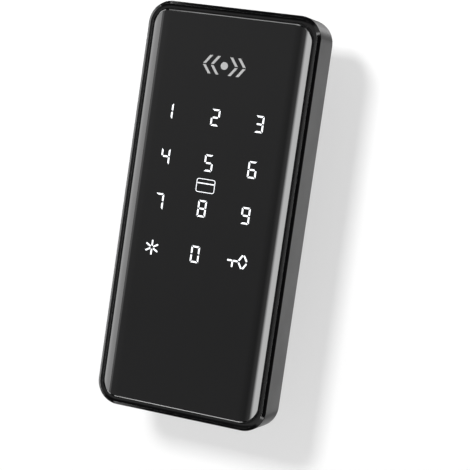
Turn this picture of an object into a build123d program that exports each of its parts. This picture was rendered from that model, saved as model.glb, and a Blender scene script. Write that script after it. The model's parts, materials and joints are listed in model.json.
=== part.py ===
# Electronic cabinet lock: a slim touch-and-card unit for the outside of a cabinet door.
# A threaded neck passes through the door, and a geared motor inside turns the latch cam behind it.
#
# Frame: millimetres, +Z up the lock, +X to the right seen from the front, +Y into the cabinet.
# The origin is the centre of the lock's back face, on the door's outer surface.
# A "depth" below is measured from the door's surface towards the front, so y is minus the depth,
# and what lies behind the door's surface has a negative depth.

from build123d import *
from math import atan2, cos, degrees, pi, radians, sin, sqrt, tan
import os

# Clearances
overrun = 1.0
snug_gap = 0.02
running_gap = 0.04
slide_gap = 0.15
seat_gap = 0.3

# Slab: its width, height and depth follow from the cells, the keys and the walls further down
slab_corner = 7.7
bezel_rise = 0.3
bezel_chamfer_depth = 0.75
bezel_chamfer_width = 0.8
bezel_edge_round = 0.25
back_edge_break = 0.4
wall = 1.8

# Touch panel: long edges curve back, short edges stay flat
bezel_flat_side = 1.03
bezel_flat_end = 1.65
groove_width = 0.7
panel_thickness = 2.4
panel_corner = 5.3
panel_shoulder_width = 6.0
panel_shoulder_drop = 1.9
panel_edge_round = 0.25

# Adhesive seal and deck behind the panel
seal_thickness = 0.3
seal_width = 3.0
deck_thickness = 0.7
window_stake_gap = 1.6
window_key_margin = 6.15
window_end_lap = 0.9
window_corner = 2.0

# Lit signs: one light behind each key, the card sign and the reader sign
key_pitch_x = 15.2
key_pitch_z = 14.95
key_column_x = -0.85
key_row_margin = 2.65
key_columns = 3
key_rows = 4
card_sign_lift = 0.125
reader_sign_x = -0.25
reader_rise = 16.9
light_length = 1.6
light_width = 0.8
light_height = 0.6
light_pocket_gap = 0.3
guide_gap = 0.25
guide_top_gap = 0.1
guide_key_margin = 7.5
reader_guide_length = 19.0
reader_guide_height = 9.0

# Reader antenna: a flat rectangular spiral round the reader sign
antenna_side_gap = 2.0
antenna_height = 16.0
antenna_turns = 3
antenna_track = 0.6
antenna_step = 1.2
antenna_thickness = 0.2

# Touch board
touch_board_thickness = 0.8
touch_board_side_gap = 2.0
touch_board_tray_gap = 0.6
reader_margin = 11.0
slab_end_margin = 8.1
touch_board_corner = 2.0
stake_radius = 0.8
stake_head_radius = 1.4
stake_head_height = 0.5
stake_margin = 1.6
stake_low_margin = 3.4
stake_middle_rise = 36.4
stake_high_margin = 6.4
touch_chip_size = 7.0
touch_chip_height = 1.0
touch_chip_x = -14.0
touch_chip_drop = 3.4
sensor_length = 3.0
sensor_width = 2.6
sensor_height = 1.3

# Back plate and its corner screws
plate_thickness = 1.0
plate_rim = 0.8
plate_gap = 0.15
boss_radius = 2.4
boss_clearance = 0.5
boss_sink = 0.1
boss_top_margin = 5.0
boss_bottom_margin = 15.5
boss_hole_radius = 0.82
boss_hole_length = 7.0
plate_screw_radius = 0.8
plate_screw_head_radius = 1.75
plate_screw_length = 7.0
screw_slot_width = 0.4
screw_slot_share = 0.65
screw_slot_depth = 0.5

# Threaded neck, washer and nut
spindle_rise = 30.0
neck_radius = 9.5
neck_flat_distance = 8.4
neck_length = 20.0
neck_bore_radius = 6.5
neck_washer_radius = 13.0
neck_washer_thickness = 1.2
nut_across_flats = 23.0
nut_thickness = 4.0

# Spindle, bushes and cam
spindle_radius = 5.0
bush_length = 7.0
bush_flange_radius = 7.4
bush_flange_thickness = 0.6
collar_radius = 6.4
collar_gap = 0.25
wheel_seat_radius = 3.5
wheel_seat_flat = 2.8
spindle_proud = 1.4
ring_groove_radius = 3.0
ring_thickness = 0.4
ring_outer_radius = 4.1
ring_gap = 0.1
ring_mouth_width = 3.0
square_size = 7.0
square_short = 0.1
cam_thickness = 3.0
cam_hub_radius = 9.0
cam_tip_width = 15.0
cam_reach = 38.0
cam_tip_corner = 2.0
cam_washer_radius = 6.5
cam_washer_thickness = 1.2
cam_bolt_radius = 2.5
cam_bolt_across_flats = 8.0
cam_bolt_head = 3.5
cam_bolt_length = 12.0

# Worm gear pair
gear_module = 0.6
wheel_teeth = 24
worm_pitch_radius = 3.0
tooth_height = 0.55
tooth_depth = 0.72
pressure_angle = 20.0
flank_backlash = 0.07
wheel_width = 4.0
worm_turns = 5
worm_parts_per_turn = 2
flank_points = 7
wheel_web_radius = 5.9
wheel_web_depth = 0.8
wheel_hub_radius = 4.4
magnet_radius = 1.0
magnet_height = 1.6
magnet_orbit = 5.3

# Geared motor
gearbox_gap = 0.45
gearbox_width = 12.0
gearbox_height = 10.0
gearbox_length = 9.0
gearbox_plate = 0.9
gearbox_core_inset = 0.6
motor_can_radius = 6.0
motor_can_length = 15.0
motor_cap_radius = 4.4
motor_cap_length = 0.8
motor_shaft_radius = 1.5
motor_shaft_depth = 3.0
shaft_stub = 0.5
terminal_offset = 3.5
terminal_width = 1.6
terminal_thickness = 0.4
terminal_length = 1.5

# Cradle, strap and screws that hold the motor
cradle_wall = 3.2
cradle_gap = 0.1
cradle_start_gap = 1.3
cradle_length = 20.0
strap_thickness = 0.4
strap_length = 7.0
strap_start = 9.0
motor_screw_radius = 1.0
motor_screw_head_radius = 1.7
motor_screw_head = 0.35

# Main board: an upright leg with a foot under the worm wheel
main_board_thickness = 1.0
main_board_side_gap = 1.4
main_board_wheel_gap = 2.45
main_board_cell_lap = 4.8
main_board_tray_gap = 1.4
main_board_foot_height = 9.2
main_board_drop = 2.4
standoff_height = 1.8
standoff_radius = 1.9
standoff_side = 2.8
standoff_drop = 3.0
standoff_rise = 12.6
foot_standoff_inset = 13.0
foot_standoff_rise = 5.0
board_screw_radius = 0.8
board_screw_head_radius = 1.6
board_screw_head = 0.8
board_screw_grip = 1.5
controller_chip_size = 7.0
controller_chip_height = 1.2
controller_chip_shift = 2.0
driver_chip_length = 5.0
driver_chip_width = 4.0
driver_chip_height = 1.5
driver_chip_shift = 1.0
driver_chip_drop = 4.5
capacitor_radius = 3.15
capacitor_height = 5.6
capacitor_base = 0.6
capacitor_side = 5.0
capacitor_drop = 12.5
buzzer_radius = 6.0
buzzer_height = 5.4
buzzer_hole_radius = 1.0
buzzer_hole_depth = 1.5
buzzer_drop = 26.0
socket_length = 9.0
socket_width = 3.6
socket_height = 2.0
socket_drop = 4.0
ribbon_width = 8.0
ribbon_thickness = 0.16
ribbon_rise = 3.0
plug_length = 5.0
plug_width = 3.6
plug_height = 4.2
plug_side = 3.6
plug_terminal_drop = 2.6
wire_radius = 0.45
wire_spread = 1.2
wire_bend = 1.5
wire_rises = (2.6, 4.4)

# Reset switch, pressed with a pin through the back plate
switch_side = 4.3
switch_rise = 5.0
switch_length = 3.6
switch_width = 3.0
switch_height = 0.9
plunger_radius = 0.7
plunger_proud = 0.5
plunger_inset = 0.6
reset_hole_radius = 1.1

# Cells and battery tray
cell_radius = 5.25
cell_body_length = 43.5
cell_nub_radius = 1.9
cell_nub_length = 1.0
cell_edge = 0.4
cell_pitch = 10.8
cell_count = 4
tray_side_gap = 0.25
tray_wall = 1.2
tray_floor = 0.7
tray_cell_gap = 0.05
tray_wall_drop = 1.2
tray_end_wall = 2.0
tray_front_gap = 0.2
tray_top_wall = 1.2
mouth_gap = 0.25
nail_groove_radius = 3.0
nail_groove_bite = 0.9
nail_groove_length = 16.0
rail_thickness = 0.8
rail_height = 4.0
spring_length = 3.2
spring_wire = 0.25
spring_large_radius = 3.2
spring_small_radius = 2.0
spring_turns = 3
spring_arcs_per_turn = 4
contact_thickness = 0.3
contact_reach = 3.8
contact_half_height = 3.6
terminal_post_radius = 1.1
terminal_pad_radius = 2.2
blade_width = 3.0
blade_thickness = 0.3
blade_foot = 3.4
blade_bend = 0.6
blade_gap = 0.25

# The slab's width, height and depth, from what it holds
cell_columns = [cell_pitch * (i - (cell_count - 1) / 2) for i in range(cell_count)]
tray_half_width = cell_columns[-1] + cell_radius + tray_side_gap + tray_wall
slab_width = 2 * (tray_half_width + boss_clearance + 2 * boss_radius + wall)
cell_room_length = cell_body_length + cell_nub_length + spring_length
tray_length = tray_end_wall + cell_room_length + 2 * contact_thickness + tray_top_wall
key_field_height = key_pitch_z * (key_rows - 1)
slab_height = tray_length + key_row_margin + key_field_height + reader_rise + reader_margin + slab_end_margin
tray_back_depth = plate_thickness + slide_gap
cell_depth = tray_back_depth + tray_floor + tray_cell_gap + cell_radius
deck_back_depth = cell_depth + cell_radius + tray_front_gap
deck_front_depth = deck_back_depth + deck_thickness
panel_back_depth = deck_front_depth + seal_thickness
panel_front_depth = panel_back_depth + panel_thickness
bezel_depth = panel_back_depth + bezel_rise
bezel_edge_depth = bezel_depth - bezel_chamfer_depth

# Panel, back plate and the screws between plate and housing
panel_width = slab_width - 2 * (bezel_chamfer_width + bezel_flat_side + groove_width)
panel_height = slab_height - 2 * (bezel_chamfer_width + bezel_flat_end + groove_width)
plate_width = slab_width - 2 * (plate_rim + plate_gap)
plate_height = slab_height - 2 * (plate_rim + plate_gap)
plate_corner = slab_corner - plate_rim - plate_gap
boss_top_x = slab_width / 2 - boss_top_margin
boss_top_z = slab_height / 2 - boss_top_margin
boss_bottom_x = slab_width / 2 - wall - boss_radius + boss_sink
boss_bottom_z = boss_bottom_margin - slab_height / 2
screw_corners = (
    (boss_top_x, boss_top_z),
    (-boss_top_x, boss_top_z),
    (boss_bottom_x, boss_bottom_z),
    (-boss_bottom_x, boss_bottom_z),
)

# Heights: the tray at the bottom, then the keys and the reader above it
tray_inner_bottom = tray_end_wall - slab_height / 2
cell_room_bottom = tray_inner_bottom + contact_thickness
cell_room_top = cell_room_bottom + cell_room_length
tray_inner_top = cell_room_top + contact_thickness
tray_top = tray_inner_top + tray_top_wall
key_bottom_z = tray_top + key_row_margin
key_top_z = key_bottom_z + key_field_height
card_sign_z = (key_bottom_z + key_top_z) / 2 + card_sign_lift
reader_sign_z = key_top_z + reader_rise
key_places = [
    (key_column_x + key_pitch_x * (column - (key_columns - 1) / 2), key_top_z - key_pitch_z * row)
    for row in range(key_rows)
    for column in range(key_columns)
]
light_places = key_places + [(key_column_x, card_sign_z)]

# Touch board and the deck's window in front of it
touch_board_back_depth = deck_back_depth - touch_board_thickness
touch_board_half_width = slab_width / 2 - wall - touch_board_side_gap
touch_board_bottom = tray_top + touch_board_tray_gap
touch_board_top = reader_sign_z + reader_margin
stake_x = touch_board_half_width - stake_margin
stake_rows_z = (
    touch_board_bottom + stake_low_margin,
    touch_board_bottom + stake_middle_rise,
    touch_board_top - stake_high_margin,
)
window_half_width = stake_x - window_stake_gap
window_bottom = key_bottom_z - window_key_margin
window_top = touch_board_top - window_end_lap
key_guide_top = key_top_z + guide_key_margin
antenna_length = 2 * (window_half_width - antenna_side_gap)
touch_chip_z = reader_sign_z - touch_chip_drop

# Gears, motor and cradle
spindle_z = tray_top + spindle_rise
gear_axis_depth = plate_thickness + gearbox_height / 2
wheel_pitch_radius = gear_module * wheel_teeth / 2
wheel_tip_radius = wheel_pitch_radius + tooth_height
worm_x = wheel_pitch_radius + worm_pitch_radius
worm_lead = pi * gear_module
worm_length = worm_turns * worm_lead
wheel_back_depth = gear_axis_depth - wheel_width / 2
wheel_front_depth = gear_axis_depth + wheel_width / 2
collar_front_depth = wheel_back_depth - collar_gap
spindle_front_depth = wheel_front_depth + spindle_proud
gearbox_start = spindle_z + wheel_tip_radius - gearbox_gap
motor_front_depth = gear_axis_depth + gearbox_height / 2
can_start = gearbox_start + gearbox_length
can_end = can_start + motor_can_length
terminal_start = can_end + motor_cap_length
cradle_start = gearbox_start + cradle_start_gap

# Main board and the pieces on it
main_board_back_depth = plate_thickness + standoff_height
main_board_front_depth = main_board_back_depth + main_board_thickness
main_board_left = main_board_side_gap + wall - slab_width / 2
main_board_right = -wheel_tip_radius - main_board_wheel_gap
main_board_middle = (main_board_left + main_board_right) / 2
main_board_foot_right = cell_columns[-1] + main_board_cell_lap
main_board_bottom = tray_top + main_board_tray_gap
main_board_foot_top = main_board_bottom + main_board_foot_height
main_board_top = touch_board_top - main_board_drop
standoff_places = (
    (main_board_left + standoff_side, main_board_top - standoff_drop),
    (main_board_left + standoff_side, main_board_bottom + standoff_rise),
    (main_board_foot_right - foot_standoff_inset, main_board_bottom + foot_standoff_rise),
)
controller_chip_x = main_board_middle + controller_chip_shift
controller_chip_z = main_board_bottom + standoff_rise
driver_chip_x = main_board_middle - driver_chip_shift
driver_chip_z = main_board_top - driver_chip_drop
capacitor_x = main_board_left + capacitor_side
capacitor_z = main_board_top - capacitor_drop
buzzer_z = main_board_top - buzzer_drop
socket_z = spindle_z - socket_drop
plug_x = main_board_right - plug_side
plug_z = terminal_start - plug_terminal_drop
switch_x = main_board_left + switch_side
switch_z = spindle_z + switch_rise

# Battery tray
tray_wall_front_depth = deck_back_depth - tray_wall_drop
tray_end_front_depth = deck_back_depth - tray_front_gap

base = (Align.CENTER, Align.CENTER, Align.MIN)


def front_plane(depth):
    """A drawing plane facing the front: local x is +X and local y is +Z."""
    return Plane(origin=(0, -depth, 0), x_dir=(1, 0, 0), z_dir=(0, -1, 0))


def layer(drawing, low_depth, high_depth):
    """A drawing seen from the front, made solid between two depths."""
    return extrude(front_plane(low_depth) * drawing, high_depth - low_depth)


def block(left, right, low_depth, high_depth, bottom, top):
    """A plain block between six limits."""
    drawing = Pos((left + right) / 2, (bottom + top) / 2) * Rectangle(right - left, top - bottom)
    return layer(drawing, low_depth, high_depth)


def disc(x, z, radius, low_depth, high_depth):
    """A round piece whose axis runs front to back."""
    return layer(Pos(x, z) * Circle(radius), low_depth, high_depth)


def upright(drawing, x, depth, bottom, top):
    """A drawing seen from above, made solid between two heights."""
    return extrude(Plane(origin=(x, -depth, bottom)) * drawing, top - bottom)


def rounded(width, height, corner):
    return RectangleRounded(width, height, corner)


def front_screw(x, z, head_radius, head_height, shank_radius, seat_depth, tip_depth):
    """A flat-headed screw driven from the front, with its head on seat_depth."""
    head = disc(x, z, head_radius, seat_depth, seat_depth + head_height)
    shank = disc(x, z, shank_radius, tip_depth, seat_depth)
    reach = head_radius * screw_slot_share
    half = screw_slot_width / 2
    low = seat_depth + head_height / 2
    high = seat_depth + head_height + overrun
    slot = block(x - reach, x + reach, low, high, z - half, z + half)
    slot += block(x - half, x + half, low, high, z - reach, z + reach)
    return head + shank - slot


def bent_strip(path, width, thickness):
    """Flat metal or film swept along a path that lies in a plane across X."""
    start = Plane(origin=path @ 0, x_dir=(1, 0, 0), z_dir=path % 0)
    return sweep(start * Rectangle(width, thickness), path=path)


# The slab's case and panel


def housing():
    body = layer(rounded(slab_width, slab_height, slab_corner), 0, bezel_edge_depth)
    body = chamfer(body.edges().group_by(Axis.Y)[-1], back_edge_break)
    bevel_low = front_plane(bezel_edge_depth) * rounded(slab_width, slab_height, slab_corner)
    bevel_high = front_plane(bezel_depth) * rounded(
        slab_width - 2 * bezel_chamfer_width,
        slab_height - 2 * bezel_chamfer_width,
        slab_corner - bezel_chamfer_width,
    )
    body += loft(Sketch() + [bevel_low, bevel_high], ruled=True)
    recess = rounded(
        panel_width + 2 * groove_width, panel_height + 2 * groove_width, panel_corner + groove_width
    )
    body -= layer(recess, deck_front_depth, bezel_depth + overrun)
    rims = edges_at(body, bezel_edge_depth) + edges_at(body, bezel_depth)
    body = fillet(rims, bezel_edge_round)
    inside = rounded(slab_width - 2 * wall, slab_height - 2 * wall, slab_corner - wall)
    body -= layer(inside, -overrun, deck_back_depth)
    rebate = rounded(plate_width + 2 * plate_gap, plate_height + 2 * plate_gap, plate_corner + plate_gap)
    body -= layer(rebate, -overrun, plate_thickness)
    window_height = window_top - window_bottom
    window = Pos(0, (window_top + window_bottom) / 2)
    window = window * rounded(2 * window_half_width, window_height, window_corner)
    body -= layer(window, deck_back_depth - overrun, deck_front_depth + overrun)
    body -= tray_mouth()
    for x, z in screw_corners:
        body += disc(x, z, boss_radius, plate_thickness, deck_back_depth) & slab_space()
        body -= disc(x, z, boss_hole_radius, plate_thickness - overrun, plate_thickness + boss_hole_length)
    for side in (-1, 1):
        for z in stake_rows_z:
            body += disc(side * stake_x, z, stake_radius, touch_board_back_depth, deck_back_depth)
            head_low = touch_board_back_depth - stake_head_height
            body += disc(side * stake_x, z, stake_head_radius, head_low, touch_board_back_depth)
        near = side * (tray_half_width + mouth_gap)
        far = near + side * rail_thickness
        left, right = min(near, far), max(near, far)
        rail_low = deck_back_depth - rail_height
        body += block(left, right, rail_low, deck_back_depth, tray_inner_bottom, tray_top)
    return body


def edges_at(body, depth):
    """The edges whose middle lies at one depth."""
    return body.edges().filter_by_position(Axis.Y, -depth - snug_gap, snug_gap - depth)


def slab_space():
    """Everything inside the housing's outline, from the back plate to the deck's front."""
    outline = rounded(slab_width - wall, slab_height - wall, slab_corner - wall / 2)
    return layer(outline, plate_thickness, deck_front_depth)


def tray_mouth():
    """The cut in the bottom wall that the battery tray slides through."""
    reach = tray_half_width + mouth_gap
    bottom = -slab_height / 2 - overrun
    return block(-reach, reach, plate_thickness, deck_back_depth, bottom, tray_inner_bottom)


def touch_panel():
    half = panel_width / 2
    flat_end = half - panel_shoulder_width
    edge_depth = panel_front_depth - panel_shoulder_drop
    bend = (panel_shoulder_width**2 + panel_shoulder_drop**2) / (2 * panel_shoulder_drop)
    reach = panel_shoulder_width + panel_edge_round
    reach_depth = panel_front_depth - bend + (bend**2 - reach**2) ** 0.5
    side = flat_end + reach
    right = TangentArc((flat_end, -panel_front_depth), (side, -reach_depth), tangent=(1, 0))
    left = TangentArc((-flat_end, -panel_front_depth), (-side, -reach_depth), tangent=(-1, 0))
    front = Line((-flat_end, -panel_front_depth), (flat_end, -panel_front_depth))
    back = Polyline(
        (side, -reach_depth), (side, -panel_back_depth), (-side, -panel_back_depth), (-side, -reach_depth)
    )
    section = make_face([front, right, back, left])
    body = extrude(Plane(origin=(0, 0, -panel_height / 2)) * section, panel_height)
    outline = rounded(panel_width, panel_height, panel_corner)
    body = body & layer(outline, panel_back_depth - overrun, panel_front_depth + overrun)
    rim = []
    for edge in body.edges():
        box = edge.bounding_box()
        in_front = box.max.Y < snug_gap - edge_depth
        inner_line = box.size.X < snug_gap and abs(edge.center().X) < half - snug_gap
        if in_front and not inner_line:
            rim.append(edge)
    return fillet(rim, panel_edge_round)


def panel_seal():
    outer = rounded(panel_width, panel_height, panel_corner)
    inner_corner = max(panel_corner - seal_width, window_corner)
    inner = rounded(panel_width - 2 * seal_width, panel_height - 2 * seal_width, inner_corner)
    return layer(outer - inner, deck_front_depth, panel_back_depth)


def light_pocket(x, z):
    width = light_length + 2 * light_pocket_gap
    height = light_width + 2 * light_pocket_gap
    left, bottom = x - width / 2, z - height / 2
    return block(left, left + width, deck_back_depth - overrun, panel_back_depth, bottom, bottom + height)


def key_light_guide():
    bottom = window_bottom + guide_gap
    half = window_half_width - guide_gap
    drawing = Pos(0, (bottom + key_guide_top) / 2) * rounded(
        2 * half, key_guide_top - bottom, window_corner - guide_gap
    )
    guide = layer(drawing, deck_back_depth, panel_back_depth - guide_top_gap)
    for x, z in light_places:
        guide -= light_pocket(x, z)
    return guide


def reader_light_guide():
    drawing = Pos(reader_sign_x, reader_sign_z) * rounded(
        reader_guide_length, reader_guide_height, window_corner
    )
    guide = layer(drawing, deck_back_depth, panel_back_depth - guide_top_gap)
    return guide - light_pocket(reader_sign_x, reader_sign_z)


# Touch board and what it carries


def touch_board():
    height = touch_board_top - touch_board_bottom
    drawing = Pos(0, (touch_board_top + touch_board_bottom) / 2) * rounded(
        2 * touch_board_half_width, height, touch_board_corner
    )
    board = layer(drawing, touch_board_back_depth, deck_back_depth)
    for side in (-1, 1):
        for z in stake_rows_z:
            board -= disc(side * stake_x, z, stake_radius + snug_gap, 0, deck_back_depth + overrun)
    return board


def key_lights():
    lights = []
    for x, z in light_places + [(reader_sign_x, reader_sign_z)]:
        left, bottom = x - light_length / 2, z - light_width / 2
        top_depth = deck_back_depth + light_height
        lights.append(
            block(left, left + light_length, deck_back_depth, top_depth, bottom, bottom + light_width)
        )
    return lights


def touch_chip():
    half = touch_chip_size / 2
    low = touch_board_back_depth - touch_chip_height
    return block(
        touch_chip_x - half, touch_chip_x + half, low, touch_board_back_depth,
        touch_chip_z - half, touch_chip_z + half,
    )


def hall_sensors():
    """Two magnetic sensors, one where the wheel's magnet rests and one a quarter turn on."""
    low = touch_board_back_depth - sensor_height
    places = ((0, spindle_z + magnet_orbit), (magnet_orbit, spindle_z))
    return [
        block(
            x - sensor_length / 2, x + sensor_length / 2, low, touch_board_back_depth,
            z - sensor_width / 2, z + sensor_width / 2,
        )
        for x, z in places
    ]


def antenna_coil():
    points = []
    half_length, half_height = antenna_length / 2, antenna_height / 2
    for turn in range(antenna_turns):
        inset = antenna_step * turn
        x_far, z_far = half_length - inset, half_height - inset
        points += [(-x_far, -z_far), (x_far, -z_far), (x_far, z_far), (-x_far, z_far)]
        points.append((-x_far, antenna_step - z_far))
    drawing = trace(Polyline(*points), antenna_track)
    drawing = Pos(reader_sign_x, reader_sign_z) * drawing
    return layer(drawing, deck_back_depth, deck_back_depth + antenna_thickness)


# Back plate, neck and nut


def neck_drawing(radius, flat_distance):
    """A circle with one flat at its lower side, so that the neck can't turn in the door."""
    cutter = Pos(0, -flat_distance - radius) * Rectangle(2 * radius, 2 * radius)
    return Pos(0, spindle_z) * (Circle(radius) - cutter)


def back_plate():
    plate = layer(rounded(plate_width, plate_height, plate_corner), 0, plate_thickness)
    hole = neck_drawing(neck_radius + snug_gap, neck_flat_distance + snug_gap)
    plate -= layer(hole, -overrun, plate_thickness + overrun)
    plate -= disc(switch_x, switch_z, reset_hole_radius, -overrun, plate_thickness + overrun)
    for x, z in screw_corners:
        sink = front_plane(0) * Pos(x, z) * Cone(
            plate_screw_head_radius + snug_gap, plate_screw_radius + snug_gap, plate_thickness, align=base
        )
        plate -= sink
    for x in motor_screw_columns():
        plate -= disc(x, motor_screw_z(), motor_screw_radius + snug_gap, -overrun, plate_thickness + overrun)
    return plate


def back_plate_screws():
    screws = []
    for x, z in screw_corners:
        head = front_plane(0) * Pos(x, z) * Cone(
            plate_screw_head_radius, plate_screw_radius, plate_thickness, align=base
        )
        shank = disc(x, z, plate_screw_radius, plate_thickness, plate_screw_length)
        reach = plate_screw_head_radius * screw_slot_share
        half = screw_slot_width / 2
        slot = block(x - reach, x + reach, -overrun, screw_slot_depth, z - half, z + half)
        slot += block(x - half, x + half, -overrun, screw_slot_depth, z - reach, z + reach)
        screws.append(head + shank - slot)
    return screws


def neck():
    body = layer(neck_drawing(neck_radius, neck_flat_distance), -neck_length, plate_thickness)
    return body - disc(0, spindle_z, neck_bore_radius, -neck_length - overrun, plate_thickness + overrun)


def neck_washer():
    nut_face = neck_length - nut_thickness
    drawing = Pos(0, spindle_z) * Circle(neck_washer_radius)
    drawing -= neck_drawing(neck_radius + running_gap, neck_flat_distance + running_gap)
    return layer(drawing, -nut_face, -nut_face + neck_washer_thickness)


def neck_nut():
    hexagon = RegularPolygon(nut_across_flats / 2, 6, major_radius=False)
    drawing = Pos(0, spindle_z) * (hexagon - Circle(neck_radius + running_gap))
    return layer(drawing, -neck_length, nut_thickness - neck_length)


# Spindle and cam


def spindle_bushes():
    outer, inner = neck_bore_radius - snug_gap, spindle_radius + running_gap
    ring = Pos(0, spindle_z) * (Circle(outer) - Circle(inner))
    flange = Pos(0, spindle_z) * (Circle(bush_flange_radius) - Circle(inner))
    front = layer(ring, plate_thickness - bush_length, plate_thickness)
    front += layer(flange, plate_thickness, plate_thickness + bush_flange_thickness)
    rear = layer(ring, -neck_length, bush_length - neck_length)
    return [front, rear]


def spindle():
    collar_back = plate_thickness + bush_flange_thickness + ring_gap
    shoulder = -neck_length - seat_gap
    body = disc(0, spindle_z, spindle_radius, shoulder, collar_back)
    body += disc(0, spindle_z, collar_radius, collar_back, collar_front_depth)
    seat = Circle(wheel_seat_radius) - Pos(0, wheel_seat_flat + wheel_seat_radius) * Rectangle(
        2 * wheel_seat_radius, 2 * wheel_seat_radius
    )
    body += layer(Pos(0, spindle_z) * seat, collar_front_depth, spindle_front_depth)
    groove = Circle(wheel_seat_radius + overrun) - Circle(ring_groove_radius)
    groove_low = wheel_front_depth + snug_gap
    body -= layer(Pos(0, spindle_z) * groove, groove_low, groove_low + ring_thickness + ring_gap)
    square = Pos(0, spindle_z) * Rectangle(square_size, square_size)
    square_end = shoulder - cam_thickness + square_short
    body += layer(square, square_end, shoulder)
    bore_end = square_end + cam_bolt_length
    return body - disc(0, spindle_z, cam_bolt_radius + snug_gap, square_end - overrun, bore_end)


def retaining_ring():
    low = wheel_front_depth + snug_gap + ring_gap / 2
    drawing = Circle(ring_outer_radius) - Circle(ring_groove_radius + snug_gap)
    mouth = Pos(0, -ring_outer_radius) * Rectangle(ring_mouth_width, 2 * ring_outer_radius)
    return layer(Pos(0, spindle_z) * (drawing - mouth), low, low + ring_thickness)


def cam():
    """Latch blade: points up at rest and turns to the right behind the cabinet's frame."""
    back = -neck_length - seat_gap - cam_thickness
    blade_width = min(cam_tip_width, 2 * cam_hub_radius)
    blade = Pos(0, cam_reach / 2) * Rectangle(blade_width, cam_reach)
    blade = fillet(blade.vertices().group_by(Axis.Y)[-1], cam_tip_corner)
    hole = Rectangle(square_size + 2 * running_gap, square_size + 2 * running_gap)
    drawing = Pos(0, spindle_z) * (Circle(cam_hub_radius) + blade - hole)
    return layer(drawing, back, back + cam_thickness)


def cam_washer():
    seat = -neck_length - seat_gap - cam_thickness
    drawing = Pos(0, spindle_z) * (Circle(cam_washer_radius) - Circle(cam_bolt_radius + running_gap))
    return layer(drawing, seat - cam_washer_thickness, seat)


def cam_bolt():
    seat = -neck_length - seat_gap - cam_thickness - cam_washer_thickness
    hexagon = Pos(0, spindle_z) * RegularPolygon(cam_bolt_across_flats / 2, 6, major_radius=False)
    head = layer(hexagon, seat - cam_bolt_head, seat)
    return head + disc(0, spindle_z, cam_bolt_radius, seat, seat + cam_bolt_length)


# Worm gear pair


def wheel_profile():
    """Involute teeth, with one tooth pointing at the worm."""
    base_radius = wheel_pitch_radius * cos(radians(pressure_angle))
    root = wheel_pitch_radius - tooth_depth
    tip = wheel_tip_radius

    def roll(radius):
        ratio = max(radius / base_radius, 1)
        turn = sqrt(ratio * ratio - 1)
        return turn - atan2(turn, 1)

    half_pitch_tooth = (worm_lead / 4 - flank_backlash) / wheel_pitch_radius

    def half_tooth(radius):
        return half_pitch_tooth + roll(wheel_pitch_radius) - roll(radius)

    start = max(root, base_radius)
    radii = [start + (tip - start) * i / (flank_points - 1) for i in range(flank_points)]

    def spot(radius, angle):
        return (radius * cos(angle), radius * sin(angle))

    pitch = 2 * pi / wheel_teeth
    edges = []
    for tooth in range(wheel_teeth):
        middle = pitch * tooth
        rise = [spot(radius, middle - half_tooth(radius)) for radius in radii]
        fall = [spot(radius, middle + half_tooth(radius)) for radius in reversed(radii)]
        foot_in = spot(root, middle - half_tooth(start))
        foot_out = spot(root, middle + half_tooth(start))
        next_foot = spot(root, middle + pitch - half_tooth(start))
        edges.append(Line(foot_in, rise[0]))
        edges.append(Spline(*rise))
        edges.append(ThreePointArc(rise[-1], spot(tip, middle), fall[0]))
        edges.append(Spline(*fall))
        edges.append(Line(fall[-1], foot_out))
        edges.append(ThreePointArc(foot_out, spot(root, middle + pitch / 2), next_foot))
    return make_face(edges)


def worm_wheel():
    lead_angle = atan2(worm_lead, 2 * pi * worm_pitch_radius)
    twist = degrees(wheel_width * tan(lead_angle) / wheel_pitch_radius)
    face = Rot(0, 0, -twist / 2) * wheel_profile()
    centre = (0, 0, 0)
    blank = Solid.extrude_linear_with_rotation(face.faces()[0], centre, (0, 0, wheel_width), twist)
    away = Plane(origin=(0, -wheel_front_depth, spindle_z), x_dir=(1, 0, 0), z_dir=(0, 1, 0))
    wheel = away * blank
    seat = Circle(wheel_seat_radius + snug_gap) - Pos(
        0, wheel_seat_flat + snug_gap + wheel_seat_radius
    ) * Rectangle(2 * wheel_seat_radius, 2 * wheel_seat_radius)
    wheel -= layer(Pos(0, spindle_z) * seat, 0, panel_front_depth)
    web = Pos(0, spindle_z) * (Circle(wheel_web_radius) - Circle(wheel_hub_radius))
    wheel -= layer(web, wheel_back_depth - overrun, wheel_back_depth + wheel_web_depth)
    magnet_low = wheel_front_depth - magnet_height / 2
    return wheel - disc(
        0, spindle_z + magnet_orbit, magnet_radius + snug_gap, magnet_low, wheel_front_depth + overrun
    )


def position_magnet():
    low = wheel_front_depth - magnet_height / 2
    return disc(0, spindle_z + magnet_orbit, magnet_radius, low, low + magnet_height)


def worm():
    """Single-start right-hand thread, its cross section turned as it climbs, in stacked half turns."""
    tip = worm_pitch_radius + tooth_height
    root = worm_pitch_radius - tooth_depth
    slope = tan(radians(pressure_angle))
    half_width = worm_lead / 4 - flank_backlash

    def edge_point(radius, side):
        reach = half_width + (worm_pitch_radius - radius) * slope
        angle = side * reach * 2 * pi / worm_lead
        return (radius * cos(angle), radius * sin(angle))

    radii = [tip + (root - tip) * i / (flank_points - 1) for i in range(flank_points)]
    left = [edge_point(radius, -1) for radius in radii]
    right = [edge_point(radius, 1) for radius in radii]
    section = make_face([
        ThreePointArc(left[0], (tip, 0), right[0]),
        Spline(*right),
        ThreePointArc(right[-1], (-root, 0), left[-1]),
        Spline(*left),
    ])
    section -= Circle(motor_shaft_radius + snug_gap)
    part_turn = 360 / worm_parts_per_turn
    part_length = worm_lead / worm_parts_per_turn
    parts = []
    for i in range(worm_turns * worm_parts_per_turn):
        face = (Rot(0, 0, part_turn * i - worm_turns * 360 / 2) * section).faces()[0]
        part = Solid.extrude_linear_with_rotation(face, (0, 0, 0), (0, 0, part_length), part_turn)
        parts.append(Pos(0, 0, part_length * i) * part)
    thread = parts[0].fuse(*parts[1:])
    return Pos(worm_x, -gear_axis_depth, spindle_z - worm_length / 2) * thread


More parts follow.
